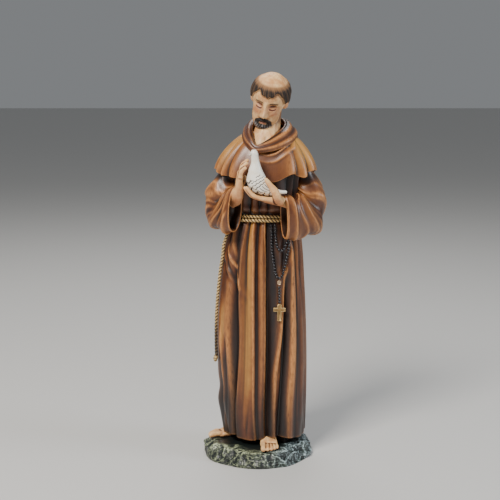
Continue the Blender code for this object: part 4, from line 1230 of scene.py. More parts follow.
@dataclass
class Hood(SubAssembly):
    """The rolled collar round the neck, and the pointed hood that hangs down the back."""

    # Degrees from the front, then the band's inner and outer edge
    collar: tuple[tuple[float, Row, Row], ...] = (
        (-180, (5.0, 9.0, 216.0), (5.0, 17.5, 208.0)),
        (-135, (-3.0, 5.5, 216.0), (-7.5, 11.5, 208.0)),
        (-90, (-5.6, -3.0, 213.6), (-12.4, -2.5, 205.4)),
        (-60, (-6.6, -10.0, 209.8), (-12.2, -10.5, 202.0)),
        (-28, (-5.4, -15.6, 204.4), (-9.4, -18.6, 198.4)),
        (0, (-3.0, -18.6, 199.8), (-3.4, -22.0, 195.2)),
        (22, (2.6, -17.0, 202.4), (6.6, -21.6, 196.4)),
        (48, (9.4, -13.0, 207.0), (16.4, -17.4, 199.6)),
        (90, (14.6, -3.5, 211.8), (23.2, -3.5, 203.6)),
        (135, (13.0, 5.5, 215.4), (18.0, 11.5, 207.4)),
        (180, (5.0, 9.0, 216.0), (5.0, 17.5, 208.0)),
    )
    half_thickness: float = 2.3
    fold: float = 0.42
    collar_rings: int = 300
    collar_columns: int = 64
    back_rows: int = 110
    back_columns: int = 120
    # Centre, half-width and half-depth rows of the hanging hood
    back: tuple[Section, ...] = (
        ((4.6, 10.0, 213.5), (11.0, 0, 0), (0, 2.6, 1.4)),
        ((4.6, 14.6, 207.0), (14.2, 0, 0), (0, 4.4, 2.6)),
        ((4.6, 17.8, 197.0), (14.4, 0, 0), (0, 5.6, 1.4)),
        ((4.6, 20.2, 186.0), (10.4, 0, 0), (0, 4.8, 0.4)),
        ((4.6, 21.2, 178.5), (4.8, 0, 0), (0, 3.0, 0)),
        ((4.6, 21.0, 174.6), (1.2, 0, 0), (0, 1.2, 0)),
    )

    def pieces(self) -> list[Piece]:
        """The collar and the hanging hood."""
        return [self.build_collar(), self.build_back()]

    def build_collar(self) -> Piece:
        """The collar: an oval section carried round the neck, with long folds along its outer face.

        Returns:
            The mesh object.
        """
        degrees = np.linspace(-180, 180, self.collar_rings, endpoint=False)
        knots = [row[0] for row in self.collar]
        inner, outer = (soft_steps(degrees, knots, [row[k] for row in self.collar]) for k in (1, 2))
        middle, across = (inner + outer) / 2, (outer - inner) / 2
        along = np.roll(middle, -1, axis=0) - np.roll(middle, 1, axis=0)
        out = directed(np.cross(across, along))
        around = ring_angles(self.collar_columns)[None, :, None]
        drift = np.radians(degrees)[:, None, None]
        wide = 0.45 + 0.55 * rise(degrees, -10, 40)[:, None, None]
        wave = np.cos(6 * around + 1.1 * np.sin(drift) + 0.8 * np.sin(2 * drift + 1))
        thick = self.half_thickness + self.fold * wide * wave
        wide_part = across[:, None] * np.cos(around) * (1 + 0.03 * wave)
        points = middle[:, None] + wide_part + out[:, None] * np.sin(around) * thick
        paint = fold_paint(points, 0.8, 2.4)
        side = rise(degrees, -20, 30)[:, None]
        paint["tone"] = 0.40 + 0.16 * side + 0 * paint["wash_and_shade"]
        # Painted shade on the roll's inner face
        inside = np.cos(around[..., 0]) < -0.55
        paint["wash_and_shade"] = unit(paint["wash_and_shade"] + 0.5 * inside)
        return lay_skin("hood_collar", points, paint, ring=True)

    def build_back(self) -> Piece:
        """The hanging hood: squared ovals between the rows, with folds that run to its tip.

        Returns:
            The mesh object.
        """
        at = np.linspace(0, len(self.back) - 1, self.back_rows)
        centre, wide, deep = sections(self.back, at)
        around = ring_angles(self.back_columns)[None, :]
        s, c = (v[..., None] for v in oval(around, 2.0))
        share = (at / at[-1])[:, None, None]
        fold = 0.45 * np.sin(7 * around[..., None] + 2.5 * share) * np.sin(math.pi * share) ** 0.6
        points = centre + wide * s - deep * c - fold * np.array([0, 1, 0]) * c
        paint = fold_paint(points, 1.0, 4.0)
        paint["tone"] = 0.60 + 0 * paint["wash_and_shade"]
        return lay_skin("hood_back", points, paint)


class Side(Enum):
    """The friar's own sides, with the sign of x there."""

    RIGHT = -1
    LEFT = 1


@dataclass
class Sleeve(SubAssembly):
    """A bell sleeve: rings from the shoulder to the cuff, then back into the open cuff."""

    side: Side
    rows: tuple[Section, ...]
    folds: float
    lean: float
    band: float
    wall: float = 1.1
    columns: int = 150
    rows_down: int = 150
    depth_rows: Row = (0.985, 0.97, 0.94, 0.90, 0.86, 0.82)

    def ring(self, share: float, wall: float, around: Grid) -> Grid:
        """One ring: the centre, less the half-height times cos, plus the half-width times sin, each with its folds.

        Args:
            share: place from the shoulder, 0, to the cuff, 1.
            wall: how far inside the cloth it lies.
            around: angles round the sleeve.

        Returns:
            Points of the ring.
        """
        knots = np.linspace(0, 1, len(self.rows))
        middle, down, side = (soft_steps(share, knots, [row[k] for row in self.rows]) for k in range(3))
        s, c = oval(around, 2.3)
        free = min(1, share * 3) * min(1, (1 - share) * 9)
        fold = free * 0.075 * np.sin(2 * math.pi * 3.6 * share + 0.9 * np.cos(around))
        if wall == 0:
            fold = fold + self.creases(share, around, free)
        band = self.band * rise(share, 0.855, 0.885) * (1 - rise(share, 0.985, 1.0))
        rim = 0.35 * hump(share, 1.0, 0.012)
        high, broad = np.linalg.norm(down), np.linalg.norm(side)
        return (
            middle
            - down * (c * (1 + fold + (band + rim - wall) / high))[:, None]
            + side * (s * (1 + 1.6 * fold + (band + rim - wall) / broad))[:, None]
        )

    def creases(self, share: float, around: Grid, free: float) -> Grid:
        """Crescent folds: a sharpened wave along the sleeve, whose crests gather towards the crook of the arm.

        Args:
            share: place from the shoulder to the cuff.
            around: angles round the sleeve.
            free: how free the cloth is there, from 0 to 1.

        Returns:
            How far the cloth stands out, as a share.
        """
        phase = self.folds * (share**0.9) + self.lean * np.cos(around) + 0.35 * np.sin(2 * around)
        wave = np.cos(2 * math.pi * phase)
        sharp = np.exp(2.6 * (wave - 1)) - 0.3
        fine = np.exp(3.0 * (np.cos(2 * math.pi * (1.7 * phase + 0.3)) - 1)) - 0.25
        uneven = 1 + 0.35 * np.sin(2 * around + 5 * share) - 0.35 * np.abs(np.sin(around))
        size = 0.085 + 0.03 * np.cos(around + 0.6)
        smooth = 1 - rise(share, 0.76, 0.9) * min(1.0, 1.4 * self.band)
        return free * size * (1.15 * uneven * sharp + 0.25 * fine) * smooth

    def build(self) -> Piece:
        """Builds the sleeve's mesh.

        Returns:
            The mesh object.
        """
        around = ring_angles(self.columns)
        shares = np.concatenate([np.linspace(0, 0.98, self.rows_down), [0.985, 0.99, 0.995, 1.0]])
        outside = np.array([self.ring(share, 0, around) for share in shares])
        lip = [self.ring(1.0, 0.3, around), self.ring(1.0, 0.8, around)]
        inside = [self.ring(share, self.wall, around) for share in (1.0,) + self.depth_rows]
        middle = outside[-1].mean(axis=0) - outside[-8].mean(axis=0)
        middle /= np.linalg.norm(middle)
        lip = [ring + 0.35 * middle for ring in lip]
        crumple = 0.5 + 0.5 * np.sin(6 * around + 1.0)
        inside = [ring + (ring.mean(axis=0) - ring) * (0.05 * k * crumple)[:, None] for k, ring in enumerate(inside)]
        points = np.concatenate([outside, np.array(lip), np.array(inside)])
        paint = fold_paint(outside, 1.0, 3.6)
        # Painted light from above: the sleeve is lighter high up and darker low down
        low = rise(-outside[..., 2], -165, -145)
        share = shares[:, None]
        paint["tone"] = 0.46 + 0.14 * (1 - low) + 0.12 * np.sin(2 * around + 7 * share)
        paint["ridge"] = unit(paint["ridge"] + 0.7 * rise(share, 0.985, 0.998))
        # Painted shade under the cape's hem, on the sleeve's upper part
        under = rise(outside[..., 2], 172, 180) * (1 - rise(share, 0.3, 0.5))
        paint["wash_and_shade"] = unit(0.95 * paint["wash_and_shade"] + 0.6 * under)
        # The rows inside the open cuff are painted dark, as painted shade
        count = len(lip) + len(inside)
        after = {
            "ridge": (1.0, 0.9) + (0.12,) * (count - 2),
            "wash_and_shade": (0.0, 0.0, 0.30) + (0.55,) * (count - 3),
            "tone": (0.7, 0.6, 0.4) + (0.2,) * (count - 3),
        }
        return lay_skin(f"sleeve_{self.side.name.lower()}", points, more_rows(paint, after))


RIGHT_SLEEVE_ROWS = (
    ((-17.5, 0.5, 191), (-4.0, 0, -1.0), (0, -5.5, 0)),
    ((-22.0, 0.0, 182), (-6.8, 0, -1.5), (0, -8.5, 0)),
    ((-26.5, -1.0, 170.5), (-10.3, 0.5, -4.0), (-0.5, -9, 0)),
    ((-27.8, -4.0, 161.5), (-8.6, 2.0, -10.0), (-2, -9, 0)),
    ((-25.5, -10.0, 157.6), (-4.5, 2.0, -12.8), (-4.3, -7.5, 0)),
    ((-21.8, -17.0, 157.8), (-2.0, 1.5, -14.3), (-4.3, -6, 0)),
    ((-17.4, -22.4, 158.8), (-1.0, 1.0, -14.6), (-4.1, -5.6, 0)),
)
LEFT_SLEEVE_ROWS = (
    ((22.5, 0.0, 191), (4.0, 0, -1.0), (0, -5.5, 0)),
    ((28.0, -0.5, 182), (6.6, 0, -1.5), (0, -8.5, 0)),
    ((31.0, -2.0, 169.5), (10.3, 0, -4.0), (0.5, -9.2, 0)),
    ((31.2, -6.0, 159.5), (8.6, 1.5, -10.5), (2.5, -9, 0)),
    ((28.6, -15.0, 154.2), (4.2, 1.5, -13.2), (3.6, -6.2, 0)),
    ((21.4, -21.2, 153.2), (1.2, 1.0, -13.4), (3.2, -5.0, 0)),
    ((14.4, -24.2, 153.8), (0.5, 1.0, -13.8), (2.2, -4.8, 0)),
)


# The head


@dataclass
class Head(SubAssembly):
    """A bowed head of a plain, calm design: shaven crown, ring of hair, short beard, lowered lids."""

    centre: Row = (4.6, -8.0, 228.0)
    turn: float = -12.0
    nod: float = 21.0
    tilt: float = 14.0
    skull_centre: Row = (0.0, 1.8, 4.6)
    skull_radii: Row = (11.8, 14.2, 13.2)
    jaw_centre: Row = (0.0, -3.6, -6.8)
    jaw_radii: Row = (8.9, 9.4, 13.6)
    hair_thickness: float = 1.3
    hair_top: float = 15.2
    hair_fringe: float = 7.4
    hair_edge: Pairs = (
        (0, -0.6), (20, 0.0), (34, 1.4), (48, -0.8), (72, -6.0), (84, -5.6), (110, -11.5), (180, -14.5),
    )
    # Middle, half-width and half-depth of the neck, up from the chest
    neck: tuple[tuple[Row, float, float], ...] = (
        ((0.5, -5.0, 190.0), 10.5, 10.5), ((1.0, -6.2, 199.5), 10.5, 11.6), ((3.2, -5.0, 208.0), 8.6, 9.4),
        ((5.0, -3.6, 216.0), 7.3, 7.8), ((6.0, -4.6, 224.0), 7.0, 7.4),
    )
    columns: int = 260
    rows: int = 220

    def pieces(self) -> list[Piece]:
        """The head, its ears and the neck."""
        return [self.build(), self.build_ear(Side.RIGHT), self.build_ear(Side.LEFT), self.build_neck()]

    def frame(self) -> Grid:
        """The head's own frame: turned to the right side, bowed and tilted.

        Returns:
            A rotation matrix.
        """
        turn = Matrix.Rotation(math.radians(self.turn), 3, "Z")
        nod = Matrix.Rotation(math.radians(self.nod), 3, "X")
        return np.array(turn @ nod @ Matrix.Rotation(math.radians(self.tilt), 3, "Y"))

    def placed(self, points: Grid) -> Grid:
        """Points of the head's own frame, in the figure's."""
        return points @ self.frame().T + np.array(self.centre)

    @staticmethod
    def reach(direction: Grid, centre: Row, radii: Row) -> Grid:
        """Distance from the head's middle to an oval's far side, along unit directions.

        Args:
            direction: the directions.
            centre: the oval's middle.
            radii: its half-sizes.

        Returns:
            One distance for each direction.
        """
        centre, radii = np.array(centre), np.array(radii)
        d, m = direction / radii, centre / radii
        a, b, c = (d * d).sum(-1), (d * m).sum(-1), (m * m).sum() - 1
        return (b + np.sqrt(np.maximum(b * b - a * c, 0))) / a

    @staticmethod
    def features(x: Grid, z: Grid) -> tuple[Grid, Paint]:
        """Relief and paint of the face, on the usual thirds of a face.

        Args:
            x: place across the face, from its middle.
            z: place up the face; the eyes are near 0, the nose ends at -6 and the mouth is at -9.8.

        Returns:
            How far the face stands out, and the paint of its lips, brows, lashes and cheeks, with painted shade in the
            nostrils, the eye sockets, beside the nose and under the eyes.
        """
        side = np.abs(x)

        def spot(at_x: float, at_z: float, wide: float, tall: float, of: Grid = side) -> Grid:
            """A soft round mark."""
            return hump(of, at_x, wide) * hump(z, at_z, tall)

        ridge = soft_steps(z, (-7.6, -6.6, -5.2, -1.0, 2.2, 4.0), (0, 1.9, 4.2, 2.2, 0.9, 0))
        relief = np.where((z > -7.6) & (z < 4), ridge, 0) * hump(x, 0, 1.55 - 0.09 * z)
        relief = relief + 0.95 * spot(2.0, -5.7, 0.8, 0.95) - 0.45 * spot(1.15, -6.9, 0.55, 0.4)
        relief = relief + 0.3 * spot(0, -5.2, 1.2, 1.1, x)
        relief = relief - 1.9 * spot(4.3, 0.7, 2.5, 1.9) + 0.8 * spot(4.5, -0.45, 2.2, 1.5)
        lid = -1.15 + 0.12 * (side - 4.4) ** 2
        crease = 1.25 - 0.10 * (side - 4.4) ** 2
        window = rise(side, 2.2, 3.0) * (1 - rise(side, 6.1, 6.9))
        relief = relief - 0.30 * hump(z, lid - 0.1, 0.28) * window - 0.22 * hump(z, crease, 0.25) * window
        relief = relief + 0.18 * hump(z, lid - 0.8, 0.35) * window
        arch = 3.0 - 0.06 * (side - 4.0) ** 2 + 0.05 * side
        brow_window = rise(side, 1.3, 2.6) * (1 - rise(side, 6.6, 8.0))
        relief = relief + 0.55 * hump(z, arch - 0.3, 0.9) * brow_window
        relief = relief + 0.75 * spot(6.2, -3.2, 2.6, 2.4) - 0.25 * spot(6.0, -7.6, 2.2, 2.6)
        mouth = -9.85 + 0.035 * side**2
        lips = 0.65 * spot(0, -9.1, 2.9, 0.55, x) + 0.85 * spot(0, -10.65, 2.4, 0.65, x)
        relief = relief + lips - 0.45 * hump(z, mouth, 0.22) * (1 - rise(side, 2.6, 3.6))
        relief = relief - 0.2 * spot(0, -7.9, 0.5, 0.5, x)
        relief = relief + 1.0 * spot(0, -14.0, 3.2, 2.2, x) - 0.3 * spot(0, -12.2, 2.6, 0.8, x)
        moustache = hump(z, -8.2 - 0.085 * side**2, 1.05 + 0.05 * side) * (1 - rise(side, 4.9, 6.0))
        chin = rise(-z, 10.7, 11.9) * (1 - rise(side, 5.4 - 0.1 * (z + 14), 7.0 - 0.1 * (z + 14)))
        corners = hump(side, 3.7, 1.35) * rise(-z, 7.8, 9.2) * (1 - rise(-z, 13, 15))
        notch = 1 - 0.6 * hump(side, 2.0, 0.7) * hump(z, -11.9, 0.6)
        beard = unit(np.maximum.reduce([moustache * 1.25, chin * notch, corners]))
        lock = np.cos(2.6 * x + 0.9 * np.sin(0.7 * z)) * np.cos(1.1 * z + 1.7 * side)
        relief = relief + beard * (0.75 + 0.22 * lock)
        lip_paint = (0.8 * hump(z, -9.35, 0.40) + hump(z, -10.5, 0.55)) * (1 - rise(side, 1.8, 2.9))
        line = 2.0 * hump(z, lid - 0.05, 0.42) * window + 0.75 * hump(z, crease, 0.34) * window
        # The mouth's line, and painted shade in the nostrils
        line = line + 1.2 * hump(z, mouth, 0.36) * (1 - rise(side, 2.8, 3.6)) + 1.1 * spot(1.1, -6.95, 0.7, 0.5)
        # Painted shade in the eye sockets, beside the nose and under the eyes
        line = line + 0.48 * spot(2.5, 1.0, 1.2, 1.5) + 0.42 * spot(2.4, -3.2, 0.8, 2.6)
        line = line + 0.35 * spot(4.2, -2.5, 2.2, 0.6)
        paint = {
            "lips": unit(lip_paint) * (1 - unit(moustache)),
            "brow": hump(z, arch, 0.62) * brow_window,
            "line": unit(line),
            "lid": unit(1.6 * spot(4.4, -0.1, 2.6, 1.7)),
            "blush_and_underside_shade": 0.9 * spot(6.0, -3.8, 2.6, 2.0) + 0.35 * spot(0, -5.0, 1.5, 1.5, x),
            "beard": rise(beard, 0.22, 0.5),
            "lock": lock,
        }
        return relief, paint

    def hair(self, longitude: Grid, z: Grid) -> tuple[Grid, Grid]:
        """Cover of the ring of hair and its locks: scallops below, a straight shaven edge above.

        Args:
            longitude: angle from the face's middle.
            z: height in the head's frame.

        Returns:
            Cover from 0 to 1, and a wave that rises on each lock.
        """
        degrees = np.degrees(longitude)
        sweep = longitude * 17 + 0.10 * z * np.sign(longitude) + 0.7 * np.sin(5 * longitude)
        scallop = 0.95 * np.abs(np.cos(sweep / 2)) + 0.5 * np.cos(6 * longitude)
        lower = self.hair_fringe + soft_steps(np.abs(degrees), *zip(*self.hair_edge)) + 0.9 - scallop
        cover = rise(z, lower - 0.15, lower + 0.55) * (1 - rise(z, self.hair_top - 5.2, self.hair_top))
        curl = 0.55 * np.cos(sweep + 0.55 * z) + 0.45 * np.cos(2.9 * sweep + 0.9 * z + 1.3)
        return cover, curl

    def build(self) -> Piece:
        """Builds the head: a soft maximum of a skull oval and a jaw oval, with the face's relief and the hair.

        Returns:
            The mesh object.
        """
        share = np.linspace(-0.5, 0.5, self.columns, endpoint=False)
        longitude = 2 * math.pi * (share - 0.45 * np.sin(2 * math.pi * share) / (2 * math.pi))
        latitude = np.radians(np.linspace(-84, 88, self.rows))[:, None]
        longitude = longitude[None, :] + 0 * latitude
        flat = np.cos(latitude)
        direction = together(np.sin(longitude) * flat, -np.cos(longitude) * flat, np.sin(latitude))
        skull = self.reach(direction, self.skull_centre, self.skull_radii)
        jaw = self.reach(direction, self.jaw_centre, self.jaw_radii)
        point = direction * ((skull**9 + jaw**9) ** (1 / 9))[..., None]
        front = unit(direction[..., 1] * -2.2 - 0.4)
        relief, marks = self.features(point[..., 0], point[..., 2])
        point[..., 1] -= front * relief
        cover, curl = self.hair(longitude, point[..., 2])
        top = rise(point[..., 2], self.hair_top - 8.5, self.hair_top - 3.0)
        point += direction * ((self.hair_thickness + 0.34 * curl * (1 - 0.8 * top)) * cover)[..., None]
        paint = fold_paint(point, 0.7, 2.2)
        face = front * (1 - cover)
        beard, brow = marks["beard"] * face, marks["brow"] * face
        hair = unit(np.maximum(np.maximum(cover, beard), brow))
        light = rise(point[..., 2], self.hair_top - 4.6, self.hair_top - 1.4)
        strand = unit(0.05 + 0.24 * curl * (1 - 0.6 * light) + 0.9 * light) * rise(cover, 0, 0.2)
        strand = strand + 0.12 * brow
        wash_and_shade = unit(np.maximum(paint["wash_and_shade"] * 0.9, marks["line"] * face)) * (1 - cover)
        # Painted shade on the skin along the hair's lower edge, low on the head
        wash_and_shade = np.maximum(wash_and_shade, 0.55 * hump(cover, 0.15, 0.2) * rise(-point[..., 2], -9, -5))
        grey = beard * unit(0.3 + 0.9 * marks["lock"]) * rise(-point[..., 2], 10, 13) * (1 - cover)
        dressed = {
            "ridge": paint["ridge"] * (1 - hair) * (1 - marks["lid"] * face),
            "wash_and_shade": wash_and_shade,
            "hair": np.where(cover > 0.01, rise(cover, 0.02, 0.55), hair),
            "strand": unit(strand),
            "grey": unit(grey),
            "lips": marks["lips"] * face * (1 - beard),
            "blush_and_underside_shade": (marks["blush_and_underside_shade"] + 0.55 * marks["lid"]) * face,
        }
        return lay_skin("head", self.placed(point), dressed)

    def build_ear(self, side: Side) -> Piece:
        """An ear: a flat upright oval that leans back, with a rim and a hollow.

        Args:
            side: which ear.

        Returns:
            The mesh object.
        """
        z = 3.9 * np.sin(np.radians(np.linspace(-80, 80, 60)))[:, None]
        size = np.sqrt(1 - (z / 3.95) ** 2)
        around = ring_angles(48)[None, :]
        s, c = oval(around, 2.3)
        place = c * size
        hollow = 0.75 * hump(place, 0.1, 0.45) * hump(z, 0.3, 1.7) * (s * side.value > 0)
        x = side.value * (10.4 + 2.4 * size * s * side.value - hollow)
        y = 1.4 - 0.25 * z + 1.1 * size * s * side.value + 2.0 * place
        points = together(x, y, z - 0.4)
        paint = fold_paint(points, 0.5, 1.5)
        paint["blush_and_underside_shade"] = 0.5 + 0 * paint["wash_and_shade"]
        return lay_skin(f"ear_{side.name.lower()}", self.placed(points), paint)

    def build_neck(self) -> Piece:
        """The neck and the bare chest inside the collar, with a soft hollow at the throat.

        Returns:
            The mesh object.
        """
        centre, wide, deep = sections(self.neck, np.linspace(0, len(self.neck) - 1, 90))
        around = ring_angles(100, -math.pi)[None, :]
        z = centre[..., 2]
        sinew = 0.5 * hump(np.abs(around - 0.05), 0.55 - 0.02 * (z - 205), 0.14) * rise(z, 203, 209)
        hollow = 0.7 * hump(around, 0.0, 0.2) * hump(z, 203.5, 2.5)
        out = 1 + (sinew - hollow) / 9
        points = centre + together(wide * out * np.sin(around), -deep * out * np.cos(around), 0)
        paint = fold_paint(points, 1.0, 3.0)
        # Painted shade at the top of the neck, under the head
        paint["wash_and_shade"] = unit(0.7 * paint["wash_and_shade"] + 0.6 * rise(z, 209, 216))
        return lay_skin("neck", points, paint)


# The dove and the hands that hold it


class Wing(Enum):
    """The dove's wings, with the sign of y there."""

    FRONT = -1
    BACK = 1


@dataclass
class Dove(SubAssembly):
    """The dove: sections along a curved line from its crown to its tail, with folded wings and feather lines."""

    node: ClassVar[str] = "dove"
    slot: ClassVar[str] = "dove_paint"
    rows: tuple[tuple[Row, float, float], ...] = (
        ((-5.2, -31.4, 197.8), 1.3, 1.3),
        ((-5.0, -31.2, 195.6), 2.5, 2.4),
        ((-4.5, -31.0, 192.4), 2.4, 2.3),
        ((-4.2, -30.8, 189.0), 2.9, 2.7),
        ((-4.2, -30.6, 184.6), 4.5, 3.9),
        ((-3.8, -30.4, 179.4), 6.2, 5.0),
        ((-1.8, -30.4, 175.5), 5.9, 5.0),
        ((2.8, -30.0, 172.9), 4.5, 4.2),
        ((7.2, -29.2, 171.2), 2.8, 3.4),
        ((11.4, -28.2, 170.7), 1.4, 3.2),
        ((15.2, -27.0, 170.6), 1.0, 3.2),
    )
    beak: Section = ((-6.0, -32.0, 195.2), (-7.4, -32.8, 194.9), (-8.2, -33.2, 194.6))
    beak_radii: Row = (1.0, 0.65, 0.22)
    clearance: float = 0.3
    wing_thickness: float = 0.9
    body_rows: int = 200
    body_columns: int = 140

    def pieces(self) -> list[Piece]:
        """The body, the beak and both wings."""
        return [self.build(), self.build_beak(), self.build_wing(Wing.FRONT), self.build_wing(Wing.BACK)]

    def line(self, at: Grid) -> tuple[Grid, Grid, Grid]:
        """The body's line: each depth is square to it and as far back as can be, each width square to both.

        Args:
            at: places that count the rows.

        Returns:
            Centres, half-width vectors and half-depth vectors.
        """
        centres = np.array([row[0] for row in self.rows])
        along = directed(np.gradient(centres, axis=0))
        back = directed(np.array([0, 1.0, 0]) - along * along[:, 1:2])
        wide, deep = (np.array([row[k] for row in self.rows])[:, None] for k in (1, 2))
        knots = np.arange(len(self.rows))
        return tuple(soft_steps(at, knots, v) for v in (centres, np.cross(along, back) * wide, back * deep))

    def scales(self, along: Grid, across: Grid) -> tuple[Grid, Grid]:
        """Overlapping round feathers: each row's discs lie over the next row, moved by half a feather.

        Args:
            along: place down the body, in feathers.
            across: place round it, in feathers.

        Returns:
            Height of the feathers, higher towards their tips, and the dark line round each tip.
        """
        along, across = np.broadcast_arrays(along, across)
        height, line, open_ = np.zeros_like(along), np.zeros_like(along), np.ones_like(along)
        first = np.floor(along) - 1
        for step in range(3):
            row = first + step
            shift = across + 0.5 * (row % 2)
            off = shift - np.round(shift)
            reach = np.hypot(off * 1.25, (along - row) / 1.35)
            inside = (reach < 1) * open_
            height += inside * reach
            line += open_ * np.exp(-(((reach - 1) / 0.11) ** 2))
            open_ = open_ * (reach >= 1)
        return height - 0.5, unit(line)

    def feathers(self, at: Grid, around: Grid) -> tuple[Grid, Grid]:
        """The scales of the breast and back, from below the throat to the tail.

        Args:
            at: places down the body.
            around: angles round it.

        Returns:
            Height and dark line, as scales gives them.
        """
        cover = rise(at, 4.6, 5.0) * (1 - rise(at, 7.8, 8.6))
        height, line = self.scales(at / 0.60 + 0.35 * np.sin(around), around / 0.60)
        return height * cover, line * cover

    def build(self) -> Piece:
        """The body: ovals along the line, with the feathers raised on it.

        Returns:
            The mesh object.
        """
        at = np.linspace(0, len(self.rows) - 1, self.body_rows)
        centre, wide, deep = (v[:, None] for v in self.line(at))
        around = ring_angles(self.body_columns, -math.pi)[None, :]
        at = at[:, None]
        height, line = self.feathers(at, around)
        flat = 1 - 0.25 * rise(at, 8.5, 10)
        swell = 1 + 0.05 * height
        points = centre + wide * (np.sin(around) * swell)[..., None]
        points = points - deep * (np.cos(around) * flat * swell)[..., None]
        quill = hump(np.abs(np.sin(3 * around)), 0, 0.16) * rise(at, 8.6, 9.3)
        points = points - deep * (0.05 * quill * -np.cos(around))[..., None]
        eye = sum(hump(np.hypot((at - 0.95) * 2.6, (around - a) * 2.4), 0, 0.34) for a in (-1.15, 1.15))
        paint = fold_paint(points, 0.6, 2.0)
        # Feather lines and eyes, and a little painted shade in the hollows
        paint["wash_and_shade"] = unit(0.25 * paint["wash_and_shade"] + 0.95 * line + 0.7 * quill + eye)
        return lay_skin("dove_body", points, paint)

    def build_beak(self) -> Piece:
        """The short beak: a cone that bends down to its tip.

        Returns:
            The mesh object.
        """
        at = np.linspace(0, 2, 24)
        path, radii = (soft_steps(at, range(3), values) for values in (self.beak, self.beak_radii))
        points = tube(path, radii, 24)
        return lay_skin("dove_beak", points, {"wash_and_shade": 0.45 + 0 * points[..., 0], "ridge": 0 * points[..., 0]})

    def build_wing(self, wing: Wing) -> Piece:
        """A folded wing: a flat lens along the body, with long feathers towards its tip.

        Args:
            wing: which wing.

        Returns:
            The mesh object.
        """
        side = wing.value
        rows = (
            ((-4.2, -30.6 + 3.2 * side, 183.0), (1.2, 0, 0.6), (0, 0.9 * side, 0)),
            ((-2.6, -30.4 + 4.1 * side, 178.0), (4.0, 0, 2.4), (0, 1.5 * side, 0)),
            ((1.6, -30.2 + 3.7 * side, 174.2), (3.0, 0, 3.0), (0, 1.4 * side, 0)),
            ((7.4, -29.4 + 2.6 * side, 172.0), (0.8, 0, 1.6), (0, 1.0 * side, 0)),
        )
        at = np.linspace(0, 3, 130)
        centre, wide, thick = sections(rows, at)
        around = ring_angles(110)[None, :]
        s, c = oval(around, 2.0)
        at = at[:, None]
        scale_rows, long_rows = 1 - rise(at, 1.6, 1.8), rise(at, 1.6, 1.8)
        scallop = self.scales(at / 0.36, s / 0.56)[1] * scale_rows * rise(at, 0.15, 0.3)
        lane = (s + 0.25 * at) / 0.42
        lane = lane - np.floor(lane)
        quill = np.exp(-((np.minimum(lane, 1 - lane) / 0.13) ** 2)) * long_rows
        line = unit(scallop + quill) * rise(-c, -0.2, 0.15)
        outer = 1 - 0.16 * line
        points = centre + wide * s[..., None] + thick * (-c * outer)[..., None]
        paint = fold_paint(points, 0.5, 1.6)
        paint["wash_and_shade"] = unit(0.2 * paint["wash_and_shade"] + line)
        return lay_skin(f"dove_wing_{wing.name.lower()}", points, paint)

    def clear(self, points: Grid, more: Grid) -> Grid:
        """Moves points that would lie in the dove out to its surface, a clearance and some more.

        Args:
            points: places in parts.
            more: how much further they go, one number or one for each place.

        Returns:
            The places, moved where they must.
        """
        centre, side, back = self.line(np.linspace(0, len(self.rows) - 1, 121))
        wide, deep = np.linalg.norm(side, axis=1), np.linalg.norm(back, axis=1)
        flat = points.reshape(-1, 3)
        nearest = np.linalg.norm(flat[:, None] - centre[None], axis=2).argmin(axis=1)
        off = flat - centre[nearest]
        grow = self.clearance + more + 0 * nearest
        across = (off * side[nearest]).sum(axis=1) / wide[nearest]
        behind = (off * back[nearest]).sum(axis=1) / deep[nearest]
        share = np.hypot(across / (wide[nearest] + grow), behind / (deep[nearest] + grow + self.wing_thickness))
        moved = centre[nearest] + off / np.maximum(share, 0.05)[:, None]
        return np.where((share < 1)[:, None], moved, flat).reshape(points.shape)


def tube(path: Grid, radii: Grid, columns: int) -> Grid:
    """Rings square to a path: each is the centre plus its radius times cos and sin along two square directions.

    Args:
        path: points of the middle line.
        radii: one radius for each point.
        columns: points round a ring.

    Returns:
        Points, rows by columns by three.
    """
    along = directed(np.gradient(path, axis=0))
    side = np.cross(along[0], (0, -1, 0.02))
    sides = np.zeros_like(path)
    for k, way in enumerate(along):
        side = side - way * (side @ way)
        side /= np.linalg.norm(side)
        sides[k] = side
    around = ring_angles(columns)[None, :, None]
    ring = np.cos(around) * sides[:, None] + np.sin(around) * np.cross(along, sides)[:, None]
    return path[:, None] + np.asarray(radii)[:, None, None] * ring


def bulged(path: Grid, radius: Grid) -> Grid:
    """Rings square to a path whose radius changes round them too.

    Args:
        path: points of the middle line.
        radius: rows by columns, one for each point of the rings.

    Returns:
        Points, rows by columns by three.
    """
    round_it = tube(path, np.ones(len(path)), radius.shape[1]) - path[:, None]
    return path[:, None] + round_it * radius[..., None]


@dataclass
class Hand(SubAssembly):
    """A hand: a palm of squared ovals, four fingers and a thumb, merged into one skin."""

    side: Side
    palm: tuple[Section, ...]
    fingers: tuple[Rows, ...]
    thumb_radius: float
    dove: Dove
    finger_radius: float = 1.5
    tip_radius: float = 1.1
    finger_slack: float = 0.65
    palm_slack: float = 0.6
    voxel: float = 0.00036
    smoothing: int = 4
    shade: float = 0.11

    def build(self) -> Piece:
        """Builds the hand's pieces and merges them.

        Returns:
            The mesh object.
        """
        at = np.linspace(0, len(self.palm) - 1, 60)
        centre, wide, thick = sections(self.palm, at)
        s, c = (v[None, :, None] for v in oval(ring_angles(40), 2.3))
        pieces = [lay_skin("palm", self.dove.clear(centre + wide * s + thick * c, self.palm_slack), {})]
        for number, joints in enumerate(self.fingers):
            thumb = number == len(self.fingers) - 1
            at = np.linspace(0, 2, 50)
            path = soft_steps(at, range(3), np.array(joints))
            radius = self.thumb_radius if thumb else self.finger_radius
            radii = radius + (self.tip_radius - radius) * at / 2
            path = self.dove.clear(path, radii + self.finger_slack)
            knuckle = 0.10 * hump(at, 1.0, 0.22) + 0.06 * hump(at, 1.6, 0.15)
            end = rounded(at, 1.78, 0.22, 0.985)
            pieces.append(lay_skin(f"finger_{number}", tube(path, radii * (1 + knuckle) * end, 24), {}))
        return merged(f"hand_{self.side.name.lower()}", pieces, self.voxel, self.smoothing, self.shade)


